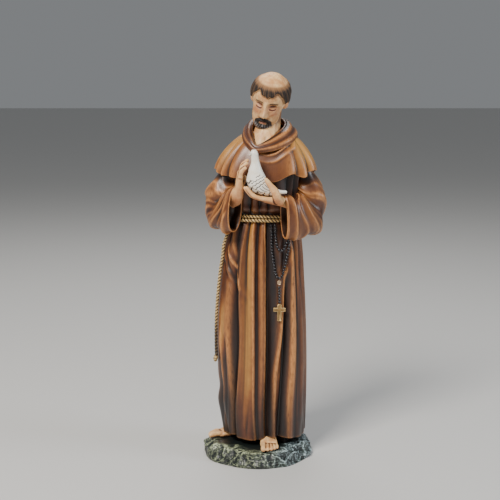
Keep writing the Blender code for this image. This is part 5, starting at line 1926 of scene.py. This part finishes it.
RIGHT_PALM = (
    ((-21.5, -16.0, 161.0), (0.4, -3.2, 0), (-2.8, 0, 2.2)),
    ((-17.2, -23.6, 166.3), (0.6, -4.0, -1.0), (-3.9, -0.6, 2.6)),
    ((-14.6, -27.4, 172.8), (0.4, -4.9, 0), (-3.1, -0.2, 1.0)),
    ((-14.3, -28.9, 178.6), (0.2, -5.2, -1.0), (-2.3, 0, 0.2)),
    ((-13.7, -29.4, 182.8), (0.0, -4.7, -1.4), (-1.9, 0, 0.8)),
)
LEFT_PALM = (
    ((24.0, -17.5, 157.5), (0, -4.0, 0), (0, 0, 3.4)),
    ((15.2, -23.2, 163.4), (-0.6, -4.2, 0), (0.2, 0, 3.5)),
    ((8.8, -28.2, 165.2), (-0.4, -5.6, 0.4), (0.6, 0, 2.9)),
    ((2.5, -30.0, 166.2), (0, -5.9, 0.4), (0.8, 0, 2.0)),
    ((-1.0, -30.4, 167.6), (0, -5.4, 0.4), (0.8, 0, 1.5)),
)
RIGHT_FINGERS = (
    ((-14.0, -33.6, 180.0), (-12.9, -33.9, 184.2), (-9.9, -33.4, 187.2)),
    ((-13.9, -31.1, 181.8), (-12.6, -31.4, 186.6), (-8.9, -30.8, 189.9)),
    ((-13.7, -28.4, 183.0), (-12.2, -28.5, 188.2), (-8.4, -27.9, 191.6)),
    ((-13.4, -25.8, 183.2), (-12.0, -25.8, 187.2), (-9.0, -25.2, 190.2)),
    ((-14.2, -25.0, 171.5), (-12.2, -23.2, 176.5), (-10.6, -23.2, 181.0)),
)
LEFT_FINGERS = (
    ((1.0, -34.6, 166.8), (-5.6, -35.0, 169.4), (-10.4, -34.4, 175.0)),
    ((0.6, -32.0, 166.6), (-6.6, -32.2, 169.0), (-11.6, -31.8, 174.6)),
    ((0.6, -29.3, 166.6), (-6.4, -29.4, 168.9), (-11.2, -29.0, 174.2)),
    ((0.8, -26.7, 166.8), (-5.2, -26.6, 169.0), (-9.4, -26.3, 173.4)),
    ((12.0, -29.8, 164.8), (7.0, -35.6, 172.8), (1.7, -36.8, 180.8)),
)


@dataclass
class Foot(SubAssembly):
    """A bare foot under the hem: a low arch of squared ovals with five toes."""

    side: Side
    heel: tuple[float, float]
    degrees: float
    length: float = 24.0
    half_width: float = 5.8
    height: float = 10.0
    voxel: float = 0.00032
    smoothing: int = 4
    shade: float = 0.17
    # Place along the foot, then width and height there as shares
    rows: Rows = (
        (0, 0.8, 0.9), (0.33, 0.85, 0.7), (0.55, 0.97, 0.54), (0.72, 1.0, 0.42), (0.82, 0.86, 0.22),
    )
    # Each toe's radius, then its place across and its reach as shares
    toes: Rows = (
        (1.6, 0.70, 1.14), (1.2, 0.20, 1.13), (1.15, -0.20, 1.09), (1.05, -0.56, 1.03), (1.0, -0.88, 0.96),
    )

    def build(self) -> Piece:
        """Builds the foot's pieces and merges them.

        Returns:
            The mesh object.
        """
        turn = np.array(Matrix.Rotation(math.radians(self.degrees), 3, "Z"))
        at = np.linspace(0, 4, 50)
        share, wide, tall = (np.interp(at, range(5), [row[k] for row in self.rows]) for k in range(3))
        half = self.height * tall / 2
        s, c = oval(ring_angles(40), 2.6)
        x = self.half_width * wide[:, None] * s
        y = -self.length * share[:, None] + 0 * x
        place = np.array([*self.heel, 0])
        pieces = [lay_skin("sole", together(x, y, half[:, None] * (1 + c)) @ turn.T + place, {})]
        inner = -1 if self.side is Side.LEFT else 1
        for order, (radius, sideways, reach) in enumerate(self.toes):
            across = inner * self.half_width * sideways
            end = self.length * reach
            start = np.array((0.8 * across, -self.length * 0.62, 2.4 - 0.2 * order))
            path = np.array([start, (across, -(end - 3.2), 2.3), (across, -end, 1.3)])
            at = np.linspace(0, 2, 36)
            tip = rounded(at, 1.7, 0.3, 0.98)
            radii = np.interp(at, range(3), (0.9, 1.05, 0.95)) * radius * tip
            toe = tube(soft_steps(at, range(3), path), radii, 20)
            pieces.append(lay_skin(f"toe_{order}", toe @ turn.T + place, {}))
        return merged(f"foot_{self.side.name.lower()}", pieces, self.voxel, self.smoothing, self.shade)


# The cord and the rosary


@dataclass
class Rope(SubAssembly):
    """The waist cord: two twisted strands in one length, twice round the waist and down to a knot."""

    node: ClassVar[str] = "waist_cord"
    slot: ClassVar[str] = "cord_paint"
    robe: Robe
    diameter: float = 0.0021
    turn_gap: float = 0.00035
    end_length: float = 0.090
    clearance: float = 0.00035
    knot_length: float = 0.004
    knot_overlap: float = 0.0006
    start: float = -80.0
    hang: float = -77.0
    step: float = 18.0
    waist_radius: float = 21.0
    lay_length: float = 0.0022
    ring_step: float = 0.00026
    path_points: int = 1500
    above_waist: float = 2.0
    # Where the cord steps down to its next turn: from and over how many degrees
    falls: Pairs = ((250, 80), (610, 70))
    columns: int = 22

    def pieces(self) -> list[Piece]:
        """The rope and its knot."""
        return [self.build(), self.build_knot()]

    def reach(self, degrees: float, z: float, breadth: float) -> float:
        """The farthest that the plain robe reaches from its axis, within a breadth of this angle.

        Args:
            degrees: the angle from the front.
            z: the height, in parts.
            breadth: how many degrees to either side count.

        Returns:
            The distance, in parts.
        """
        columns = np.arange(len(self.robe.valleys) * 8) / 8
        ring = self.robe.surface(columns, z + np.array([-2.0, 0.0, 2.0]), 0.0).reshape(-1, 3)
        x, y = ring[:, 0] - self.axis(z), ring[:, 1] - self.robe.centre_y
        near = np.abs(turned(np.degrees(np.arctan2(x, -y)), degrees)) <= breadth
        return float(np.hypot(x, y)[near].max())

    def axis(self, z: float) -> float:
        """The robe's middle at a height."""
        return float(soft_steps(z, self.robe.heights, self.robe.centres))

    def place(self, degrees: float, z: float, lift: float, breadth: float) -> Grid:
        """A place on the middle line, in metres.

        Args:
            degrees: the angle from the front.
            z: the height, in parts.
            lift: how far it is off the cloth, in metres.
            breadth: how many degrees of the cloth it has to clear.

        Returns:
            The place.
        """
        distance = self.reach(degrees, z, breadth) + lift / PART
        a = math.radians(degrees)
        x = self.axis(z) + distance * math.sin(a)
        return figure_metres((x, self.robe.centre_y - distance * math.cos(a), z))

    def path(self) -> Grid:
        """The middle line of the whole cord.

        Returns:
            Points in metres, from the first turn to the end.
        """
        lift = self.diameter / 2 + self.clearance
        climb = (self.diameter + self.turn_gap) / PART
        slack = lift + (1 / math.cos(math.radians(self.step / 2)) - 1) * self.waist_radius * PART
        waist = self.robe.waist + self.above_waist
        points = []
        for way in np.arange(0, 720, self.step):
            falls = sum(unit((way - first) / length) for first, length in self.falls)
            points.append(self.place(self.start + way, waist + climb * (0.5 - falls), slack, 0.8 * self.step))
        for share in np.linspace(0, 1, 13):
            z = waist - 1.7 * climb - self.end_length / PART * share
            points.append(self.place(self.hang, z, lift, 5))
        return np.array(points)

    def build(self) -> Piece:
        """The rope: radius = r (0.66 + 0.40 |cos(angle - twist)|^0.8), where the twist grows along the cord.

        Returns:
            The mesh object.
        """
        fine = smooth_path(self.path(), self.path_points)
        run = run_along(fine)
        even = np.arange(0, run[-1], self.ring_step)
        middle = together(*(np.interp(even, run, fine[:, k]) for k in range(3)))
        around = ring_angles(self.columns)[None, :]
        twist = around - (math.pi * even / self.lay_length)[:, None]
        lobe = np.abs(np.cos(twist))
        radius = self.diameter / 2 * (0.66 + 0.40 * lobe**0.8)
        rings = bulged(middle, radius)
        fine_strand = 0.5 + 0.5 * np.cos(3 * twist)
        # Painted shade in the grooves between the strands, and darker towards the hanging end
        low = rise(even, run[-1] - 0.034, run[-1] - 0.012)[:, None]
        wash_and_shade = unit(1.25 * (1 - lobe) ** 1.5 + 0.55 * low)
        paint = {"wash_and_shade": wash_and_shade, "ridge": unit(lobe**2 * (0.6 + 0.4 * fine_strand))}
        return lay_skin("waist_rope", rings, paint, metres=True)

    def build_knot(self) -> Piece:
        """The end knot: a short barrel of wound strand.

        Returns:
            The mesh object.
        """
        end = self.path()[-1]
        at = np.linspace(0, 1, 60)
        down = self.knot_overlap - at * (self.knot_length + self.knot_overlap)
        path = end + together(-0.3 * self.diameter * np.minimum(2 * at, 1), 0, down)
        around = ring_angles(40)[None, :]
        coil = np.abs(np.cos(around / 2 - 3 * math.pi * at[:, None]))
        body = self.diameter * (0.46 + 0.26 * np.sin(math.pi * unit(at * 1.15)) ** 0.7)[:, None]
        taper = rounded(at, 0.8, 0.2, 0.97)[:, None]
        radius = body * taper * (0.86 + 0.18 * coil)
        rings = bulged(path, radius)
        # Painted shade in the grooves of the winding
        paint = {"wash_and_shade": unit(1.2 * (1 - coil) ** 2), "ridge": coil**2}
        return lay_skin("rope_knot", rings, paint, metres=True)


@dataclass
class Rosary:
    """The rosary on the cord: touching beads, a small medal and a cross."""

    surface: BVHTree
    diameter: float = 0.0020
    pitch: float = 0.0020
    clearance: float = 0.0004
    medal_diameter: float = 0.0030
    medal_thickness: float = 0.0012
    # Reach from the middle and height over it, as shares, from the boss over the rim to the back
    medal_profile: Pairs = (
        (0.25, 0.62), (0.5, 0.50), (0.68, 0.42), (0.76, 0.78), (0.88, 1.0), (0.97, 0.8), (1.0, 0.3), (1.0, -0.4),
        (0.9, -1.0), (0.3, -1.0),
    )
    cross_height: float = 0.0112
    cross_width: float = 0.0078
    cross_bar: float = 0.0026
    cross_thickness: float = 0.0012
    pendant_length: float = 0.0115
    arm_share: float = 0.36
    medal_place: tuple[float, float] = (11.2, 110.4)
    cross_x: float = 11.4
    # How far the short string's ends reach past the medal and the cross, in bead widths
    medal_overlap: float = 0.21
    cross_overlap: float = 0.1
    loop_finish: GlossPaint = GlossPaint("loop_beads_black")
    medal_finish: Brass = Brass("medal_brass", (0.42, 0.25, 0.12), (0.85, 0.66, 0.46))
    string_finish: GlossPaint = GlossPaint("string_beads_black")
    cross_finish: Brass = Brass("cross_brass")
    ball_rows: int = 7
    ball_columns: int = 12
    wire_radius: float = 0.00028
    loop: Pairs = (
        (5.8, 148.8), (6.1, 144.3), (6.2, 138.5), (6.1, 132.3), (7.0, 126.1), (8.0, 119.5), (9.3, 115.0),
        (11.2, 113.2), (13.2, 115.0), (14.5, 118.8), (15.5, 123.6), (16.6, 128.4), (17.5, 133.4), (17.3, 137.8),
        (15.9, 135.8), (14.5, 132.5),
        (12.7, 131.3), (10.8, 132.2), (9.5, 135.1), (8.8, 140.1), (8.6, 144.6), (8.5, 148.8),
    )

    def front(self, x: float, z: float, reach_x: float, reach_z: float) -> float:
        """The foremost y of the robe near x and z.

        Args:
            x: the place across, in metres.
            z: its height, in metres.
            reach_x: how far to each side it is sought.
            reach_z: how far up and down.

        Returns:
            The lowest y, in metres.
        """
        hits = []
        for i, j in itertools.product((-1, -0.5, 0, 0.5, 1), (-1, 0, 1)):
            hit = self.surface.ray_cast(Vector((x + i * reach_x, -0.5, z + j * reach_z)), Vector((0, 1, 0)))[3]
            if hit is not None:
                hits.append(hit)
        return min(hits) - 0.5

    def hung(self, places: Grid) -> Grid:
        """Middles of touching beads along a smooth path, each resting on the robe.

        Args:
            places: x and z in parts along the string.

        Returns:
            Points in metres: every second one is a bead's middle.
        """
        places = np.array(places, float)
        fine = smooth_path(places, 40 * len(places))
        run = run_along(fine)
        steps = max(2, round(run[-1] * PART / self.pitch))
        even = np.linspace(0, run[-1], 2 * steps + 1)
        x, z = (np.interp(even, run, fine[:, k]) for k in (0, 1))
        x, _, z = figure_metres(together(x, 0, z)).T
        near = self.diameter / 2 + self.clearance
        y = np.array([self.front(a, b, near, 0.8 * self.pitch) for a, b in zip(x, z)])
        low = np.minimum(y, np.minimum(np.roll(y, 1), np.roll(y, -1)))
        low[0], low[-1] = y[0], y[-1]
        smooth = (np.roll(low, 1) + low + np.roll(low, -1)) / 3
        smooth[0], smooth[-1] = low[0], low[-1]
        return together(x, np.minimum(smooth, y) - near, z)

    def build_beads(self, name: str, places: Grid) -> Piece:
        """Beads as one mesh: the same small ball at every second place, and a thin link between them.

        Args:
            name: the object's name.
            places: x and z in parts along the string.

        Returns:
            The mesh object.
        """
        path = self.hung(places)
        latitude = np.linspace(-math.pi / 2, math.pi / 2, self.ball_rows + 2)[1:-1, None]
        longitude = ring_angles(self.ball_columns)
        ring = np.cos(latitude)
        ball = together(ring * np.cos(longitude), ring * np.sin(longitude), np.sin(latitude)).reshape(-1, 3)
        ball = np.concatenate([ball, [[0, 0, -1], [0, 0, 1]]])
        c = np.arange(self.ball_columns)
        after = (c + 1) % self.ball_columns
        quads = grid_faces(self.ball_rows, self.ball_columns, False)
        south = self.ball_rows * self.ball_columns
        last = south - self.ball_columns
        low = together(south, after, c)
        high = together(south + 1, last + c, last + after)
        middles = path[1::2]
        points = (middles[:, None] + ball[None] * self.diameter * 0.5).reshape(-1, 3)
        shift = len(ball) * np.arange(len(middles))[:, None, None]
        faces = [(quads[None] + shift).reshape(-1, 4), (np.concatenate([low, high])[None] + shift).reshape(-1, 3)]
        beads = new_mesh(name, points, faces, {})
        fine = smooth_path(path, 4 * len(path))
        link = lay_skin(f"{name}_wire", tube(fine, np.full(len(fine), self.wire_radius), 8), {}, metres=True)
        joined = bmesh.new()
        for piece in (beads, link):
            joined.from_mesh(piece.data)
        joined.to_mesh(beads.data)
        joined.free()
        bpy.data.objects.remove(link)
        beads.data.shade_smooth()
        return beads

    def dress(self) -> None:
        """Builds the loop, the medal, the short string and the cross, each for a solid of its own."""
        medal_z = figure_metres((0, 0, self.medal_place[1]))[2]
        top = medal_z - self.medal_diameter / 2 - SEAT_GAP - self.medal_overlap * self.diameter
        end = top - self.pendant_length
        heights = (np.array([top, (top + end) / 2, end]) - BASE_THICKNESS - SEAT_GAP) / PART
        x = self.medal_place[0]
        string = together((x, x + 0.1, self.cross_x), heights)
        cross_top = end - SEAT_GAP - self.cross_overlap * self.diameter
        for piece, finish, node, slot in (
            (self.build_beads("rosary_beads", self.loop), self.loop_finish, "rosary_loop", "rosary_loop_paint"),
            (self.build_medal(), self.medal_finish, "rosary_medal", "rosary_medal_metal"),
            (self.build_beads("pendant_beads", string), self.string_finish, "rosary_string", "rosary_string_paint"),
            (self.build_cross(cross_top), self.cross_finish, "rosary_cross", "rosary_cross_metal"),
        ):
            present(piece, finish.make(), node)

    def build_medal(self) -> Piece:
        """The medal: a thick oval disc with a raised rim and a plain boss.

        Returns:
            The mesh object.
        """
        x, _, z = figure_metres((self.medal_place[0], 0, self.medal_place[1]))
        half = self.medal_diameter / 2
        y = self.front(x, z, half, half) - self.medal_thickness / 2 - self.clearance
        around = ring_angles(40)[None, :]
        out, up = np.array(self.medal_profile).T[..., None]
        wide, tall = 0.85 * half * out * np.sin(around), half * out * np.cos(around)
        points = together(x + wide, y - up * self.medal_thickness / 2, z + tall)
        ridge = np.repeat(unit(up * 1.2 - 0.3), 40, axis=1)
        return lay_skin("rosary_medal_disc", points, {"ridge": ridge}, metres=True)

    def build_cross(self, top: float) -> Piece:
        """The cross: its outline as a bevelled bar, with a raised rim round its face.

        Args:
            top: the height of its upper end, in metres.

        Returns:
            The mesh object.
        """
        x = figure_metres((self.cross_x, 0, 0))[0]
        tall, wide, bar = self.cross_height / 2, self.cross_width / 2, self.cross_bar / 2
        z = top - tall
        y = min(self.front(x, z + s * tall, wide, 0.2 * tall) for s in (-0.8, -0.4, 0, 0.4, 0.8))
        y -= self.cross_thickness / 2 + self.clearance
        high = tall * self.arm_share
        arm = [(bar, high + bar), (wide, high + bar), (wide, high - bar), (bar, high - bar)]
        half = [(bar, tall), *arm, (bar, -tall)]
        outline = np.array(half + [(-a, b) for a, b in half[::-1]])
        inward = np.repeat(np.array([(-1, -1), (-1, 1), (1, 1), (1, -1)], float), 3, axis=0)
        thick = self.cross_thickness / 2
        levels = ((0.0, 1.0), (0.0, -0.5), (0.00022, -1.0), (0.00034, -1.0), (0.00042, -0.82))
        rings = []
        for inset, level in levels:
            flat = outline + inward * inset
            rings.append(together(x + flat[:, 0], y + level * thick, z + flat[:, 1]))
        points = np.concatenate(rings)
        count = len(outline)
        faces = [grid_faces(len(levels), count, False)]
        cells = np.array([(0, 1, 10, 11), (2, 3, 4, 1), (10, 1, 4, 7), (7, 8, 9, 10), (4, 5, 6, 7)])
        faces.append(np.concatenate([cells[:, ::-1], cells + (len(levels) - 1) * count]))
        ridge = np.repeat(np.array([0.3, 0.7, 1.0, 0.6, 0.15]), count)
        return new_mesh("rosary_cross_bar", points, faces, {"ridge": ridge})


@dataclass
class Rock(SubAssembly):
    """The rock base: an uneven oval slab with a craggy side and a worn rim."""

    node: ClassVar[str] = "rock_base"
    slot: ClassVar[str] = "rock_paint"
    thickness: float = 0.010
    width: float = 0.0738
    depth: float = 0.0715
    roughness: float = 0.0016
    columns: int = 34
    mesh_columns: int = 460
    # Rows up the side, over the rim and across the top, and how far round the soles the top stays flat
    side_rows: int = 64
    rim_rows: int = 26
    top_rows: int = 60
    seat_radius: float = 0.030
    wash_radius: float = 0.031
    # Rows over which the side's crags begin, the top takes over, and the dry brush stops; then the pale rim's row
    foot_band: tuple[int, int] = (2, 12)
    rim_band: tuple[int, int] = (84, 100)
    worn_band: tuple[int, int] = (90, 108)
    rim_light: tuple[int, int] = (72, 14)
    slopes: tuple[tuple[float, float, float], ...] = ((-37, 4.5, 17), (56, 3.6, 17), (150, 2.5, 20))
    levels: tuple[tuple[float, float, float, float], ...] = (
        (0.0, 0.6, 0.6, 0.0),
        (0.25, 0.0, 1.8, 0.0),
        (0.62, 0.5, 2.4, 0.0),
        (0.96, 1.6, 2.2, 0.45),
        (1.0, 4.5, 1.6, 0.0),
    )

    def rings(self) -> Grid:
        """The slab's own rings, as the solid has them.

        Returns:
            One ring for each level, in metres.
        """
        angle = ring_angles(self.columns)
        x, y = oval(angle, 2.15)
        half = np.array([self.width / 2, self.depth / 2, 0])
        flat = together(x, y, 0)
        rings = []
        for number, (share, inset, rugged, sink) in enumerate(self.levels):
            wander = np.array([noise.noise(Vector((4.5 * a, 4.5 * b, 1.1 * number))) for a, b, _ in flat])
            dip = np.array([noise.noise(Vector((2.1 * a, 2.1 * b, 7.5))) for a, b, _ in flat])
            slope = sum(size * hump(turned(np.degrees(angle), at), 0, wide) for at, size, wide in self.slopes)
            slope = slope * (0.35 + 0.65 * share**1.5) * min(1.0, rugged)
            grow = 1 - (inset + slope + rugged * (0.3 - wander)) * self.roughness / (self.width / 2)
            ring = flat * half * grow[:, None]
            ring[:, 2] = self.thickness * share - sink * self.roughness * (0.6 + np.clip(dip, -0.5, 0.6))
            rings.append(ring)
        return np.array(rings)

    def build(self) -> Piece:
        """The slab at fine rows: the solid's rings, pushed in and out by layered ridged noise.

        Returns:
            The mesh object.
        """
        rings = self.rings()
        closed = np.concatenate([rings, rings[:, :1]], axis=1)
        columns = np.linspace(0, self.columns, self.mesh_columns, endpoint=False)
        k = columns.astype(int)
        t = (columns - k)[None, :, None]
        closed = closed[:, k] * (1 - t) + closed[:, k + 1] * t
        at = np.concatenate([np.linspace(0, 3, self.side_rows), np.linspace(3, 4, self.rim_rows)[1:]])
        low = at.astype(int).clip(0, 3)
        part = (at - low)[:, None, None]
        side = closed[low] * (1 - part) + closed[low + 1] * part
        middle = side[-1].mean(axis=0)
        top = [side[-1] + (middle - side[-1]) * s for s in np.linspace(0, 0.96, self.top_rows)[1:]]
        points = np.concatenate([side, np.array(top)])
        normal = outward(points)
        bent = points + 0.0016 * together(*(grain(points, 0.004, seed) for seed in (21, 22, 23)))
        sizes = ((0.0085, 3), (0.0042, 5), (0.0022, 9))
        crests = [1 - np.abs(grain(bent * (1, 1, 1.5), size, seed)) for size, seed in sizes]
        fine = rough(points, 0.0016, 3, 11)
        row = np.arange(len(points))[:, None]
        floor = rise(row, *self.rim_band)
        wall = rise(row, *self.foot_band) * (1 - floor)
        carved = sum(depth * (crest**2 - 0.6) for depth, crest in zip((0.00110, 0.00060, 0.00025), crests))
        push = wall * (carved + 0.00012 * fine) + floor * 0.00008 * fine
        near = np.hypot(points[..., 0] - FIGURE_PLACE[0], points[..., 1] - FIGURE_PLACE[1]) < self.seat_radius
        push = np.where(near & (row > self.worn_band[0]), np.minimum(push, 0), push)
        points = points + normal * push[..., None]
        points[..., 2] = np.clip(points[..., 2], 0, self.thickness)
        points[0][:, 2] = 0
        sharp = standing_out(points / PART, 0.7)
        edges = ((0.94, 0.99), (0.91, 0.98), (0.88, 0.97))
        lines = sum(0.75 * rise(crest, *edge) for crest, edge in zip(crests, edges))
        rim = hump(row, *self.rim_light)
        ridge = lines * (0.55 + 0.6 * rim) + 0.25 * rim + unit(sharp / 0.2) * 0.3
        away = 1 - 0.85 * rise(row, *self.worn_band)
        # The top inside the rim is darker
        inner_top = points[..., 0] ** 2 + points[..., 1] ** 2 < self.wash_radius**2
        paint = {
            "ridge": unit(ridge * away),
            "wash_and_shade": unit(unit(-sharp / 0.12) + 0.9 * floor * inner_top),
            # Painted cool light: the dry brush turns blue-white towards the right side
            "cool_light_right": rise(points[..., 0], -0.004, 0.022),
        }
        return lay_skin("rock_slab", points, paint, metres=True)


# The studio


@dataclass
class Studio:
    """A plain pale floor, soft light and the camera at the photograph's angle."""

    distance: float = 0.750
    camera_height: float = 0.262
    aim_height: float = 0.139
    focal_pixels: float = 1140.0
    middle_pixel: float = 262.0
    pixels: float = 500.0
    sensor: float = 36.0
    light_aim: float = 0.13
    floor_reach: float = 6.0
    floor_colour: Colour = (0.62, 0.61, 0.59)
    room_colour: Colour = (0.74, 0.77, 0.80)
    room_strength: float = 0.28
    # Place, power, size and colour of each light
    lights: tuple[tuple[Row, float, float, Colour], ...] = (
        ((-0.42, -0.70, 0.90), 16.0, 0.38, (1, 0.96, 0.90)),
        ((0.80, -0.20, 0.40), 3.2, 0.30, (0.86, 0.93, 1)),
        ((-0.10, 0.60, 0.95), 4.0, 0.60, (1, 1, 1)),
    )

    def build(self) -> None:
        """Sets the floor, the lights, the world and the camera."""
        mesh = bpy.data.meshes.new("floor")
        far = self.floor_reach
        mesh.from_pydata([(-far, -far, 0), (far, -far, 0), (far, far, 0), (-far, far, 0)], [], [(0, 1, 2, 3)])
        floor = linked("floor", mesh)
        floor.data.materials.append(Graph("pale_floor").finish(self.floor_colour, 0.7))
        for number, (place, power, size, colour) in enumerate(self.lights):
            light = bpy.data.lights.new(f"soft_light_{number}", "AREA")
            light.energy, light.size, light.color = power, size, colour
            lamp = linked(light.name, light)
            lamp.location = place
            lamp.rotation_mode = "QUATERNION"
            lamp.rotation_quaternion = (Vector((0, 0, self.light_aim)) - Vector(place)).to_track_quat("-Z", "Y")
        world = bpy.data.worlds.new("soft_room")
        world.use_nodes = True
        sky = world.node_tree.nodes["Background"]
        sky.inputs[0].default_value = (*self.room_colour, 1)
        sky.inputs[1].default_value = self.room_strength
        bpy.context.scene.world = world
        camera = linked("camera", bpy.data.cameras.new("camera"))
        camera.data.sensor_width = self.sensor
        camera.data.lens = self.focal_pixels / self.pixels * self.sensor
        camera.data.shift_x = -(self.middle_pixel - self.pixels / 2) / self.pixels
        camera.data.clip_start, camera.data.clip_end = 0.01, 20
        camera.location = (FIGURE_PLACE[0], FIGURE_PLACE[1] - self.distance, self.camera_height)
        pitch = math.atan((self.camera_height - self.aim_height) / self.distance)
        camera.rotation_euler = (math.pi / 2 - pitch, 0, 0)
        bpy.context.scene.camera = camera


def main() -> None:
    """Builds and dresses the statue, piece by piece."""
    logging.basicConfig(level=logging.INFO, format="%(name)s: %(message)s")
    Studio().build()
    cloth, skin, white = ClothPaint().make(), SkinPaint().make(), DovePaint().make()
    robe, dove = Robe(), Dove()
    robe_piece = robe.dress(cloth)
    right_sleeve = Sleeve(Side.RIGHT, RIGHT_SLEEVE_ROWS, 5.2, 0.30, 0.2)
    left_sleeve = Sleeve(Side.LEFT, LEFT_SLEEVE_ROWS, 5.0, -0.30, 0.7)
    for worn in (Cape(), Hood(), right_sleeve, left_sleeve):
        worn.dress(cloth)
    right_hand = Hand(Side.RIGHT, RIGHT_PALM, RIGHT_FINGERS, 2.3, dove)
    left_hand = Hand(Side.LEFT, LEFT_PALM, LEFT_FINGERS, 3.3, dove)
    left_foot, right_foot = Foot(Side.LEFT, (4.0, -8.0), 2.0), Foot(Side.RIGHT, (-10.5, 5.0), -76.0)
    for bare in (Head(), right_hand, left_hand, left_foot, right_foot):
        bare.dress(skin)
    dove.dress(white)
    Rope(robe).dress(RopePaint().make())
    Rosary(BVHTree.FromObject(robe_piece, bpy.context.evaluated_depsgraph_get())).dress()
    Rock().dress(RockPaint().make())


if __name__ == "__main__":
    main()
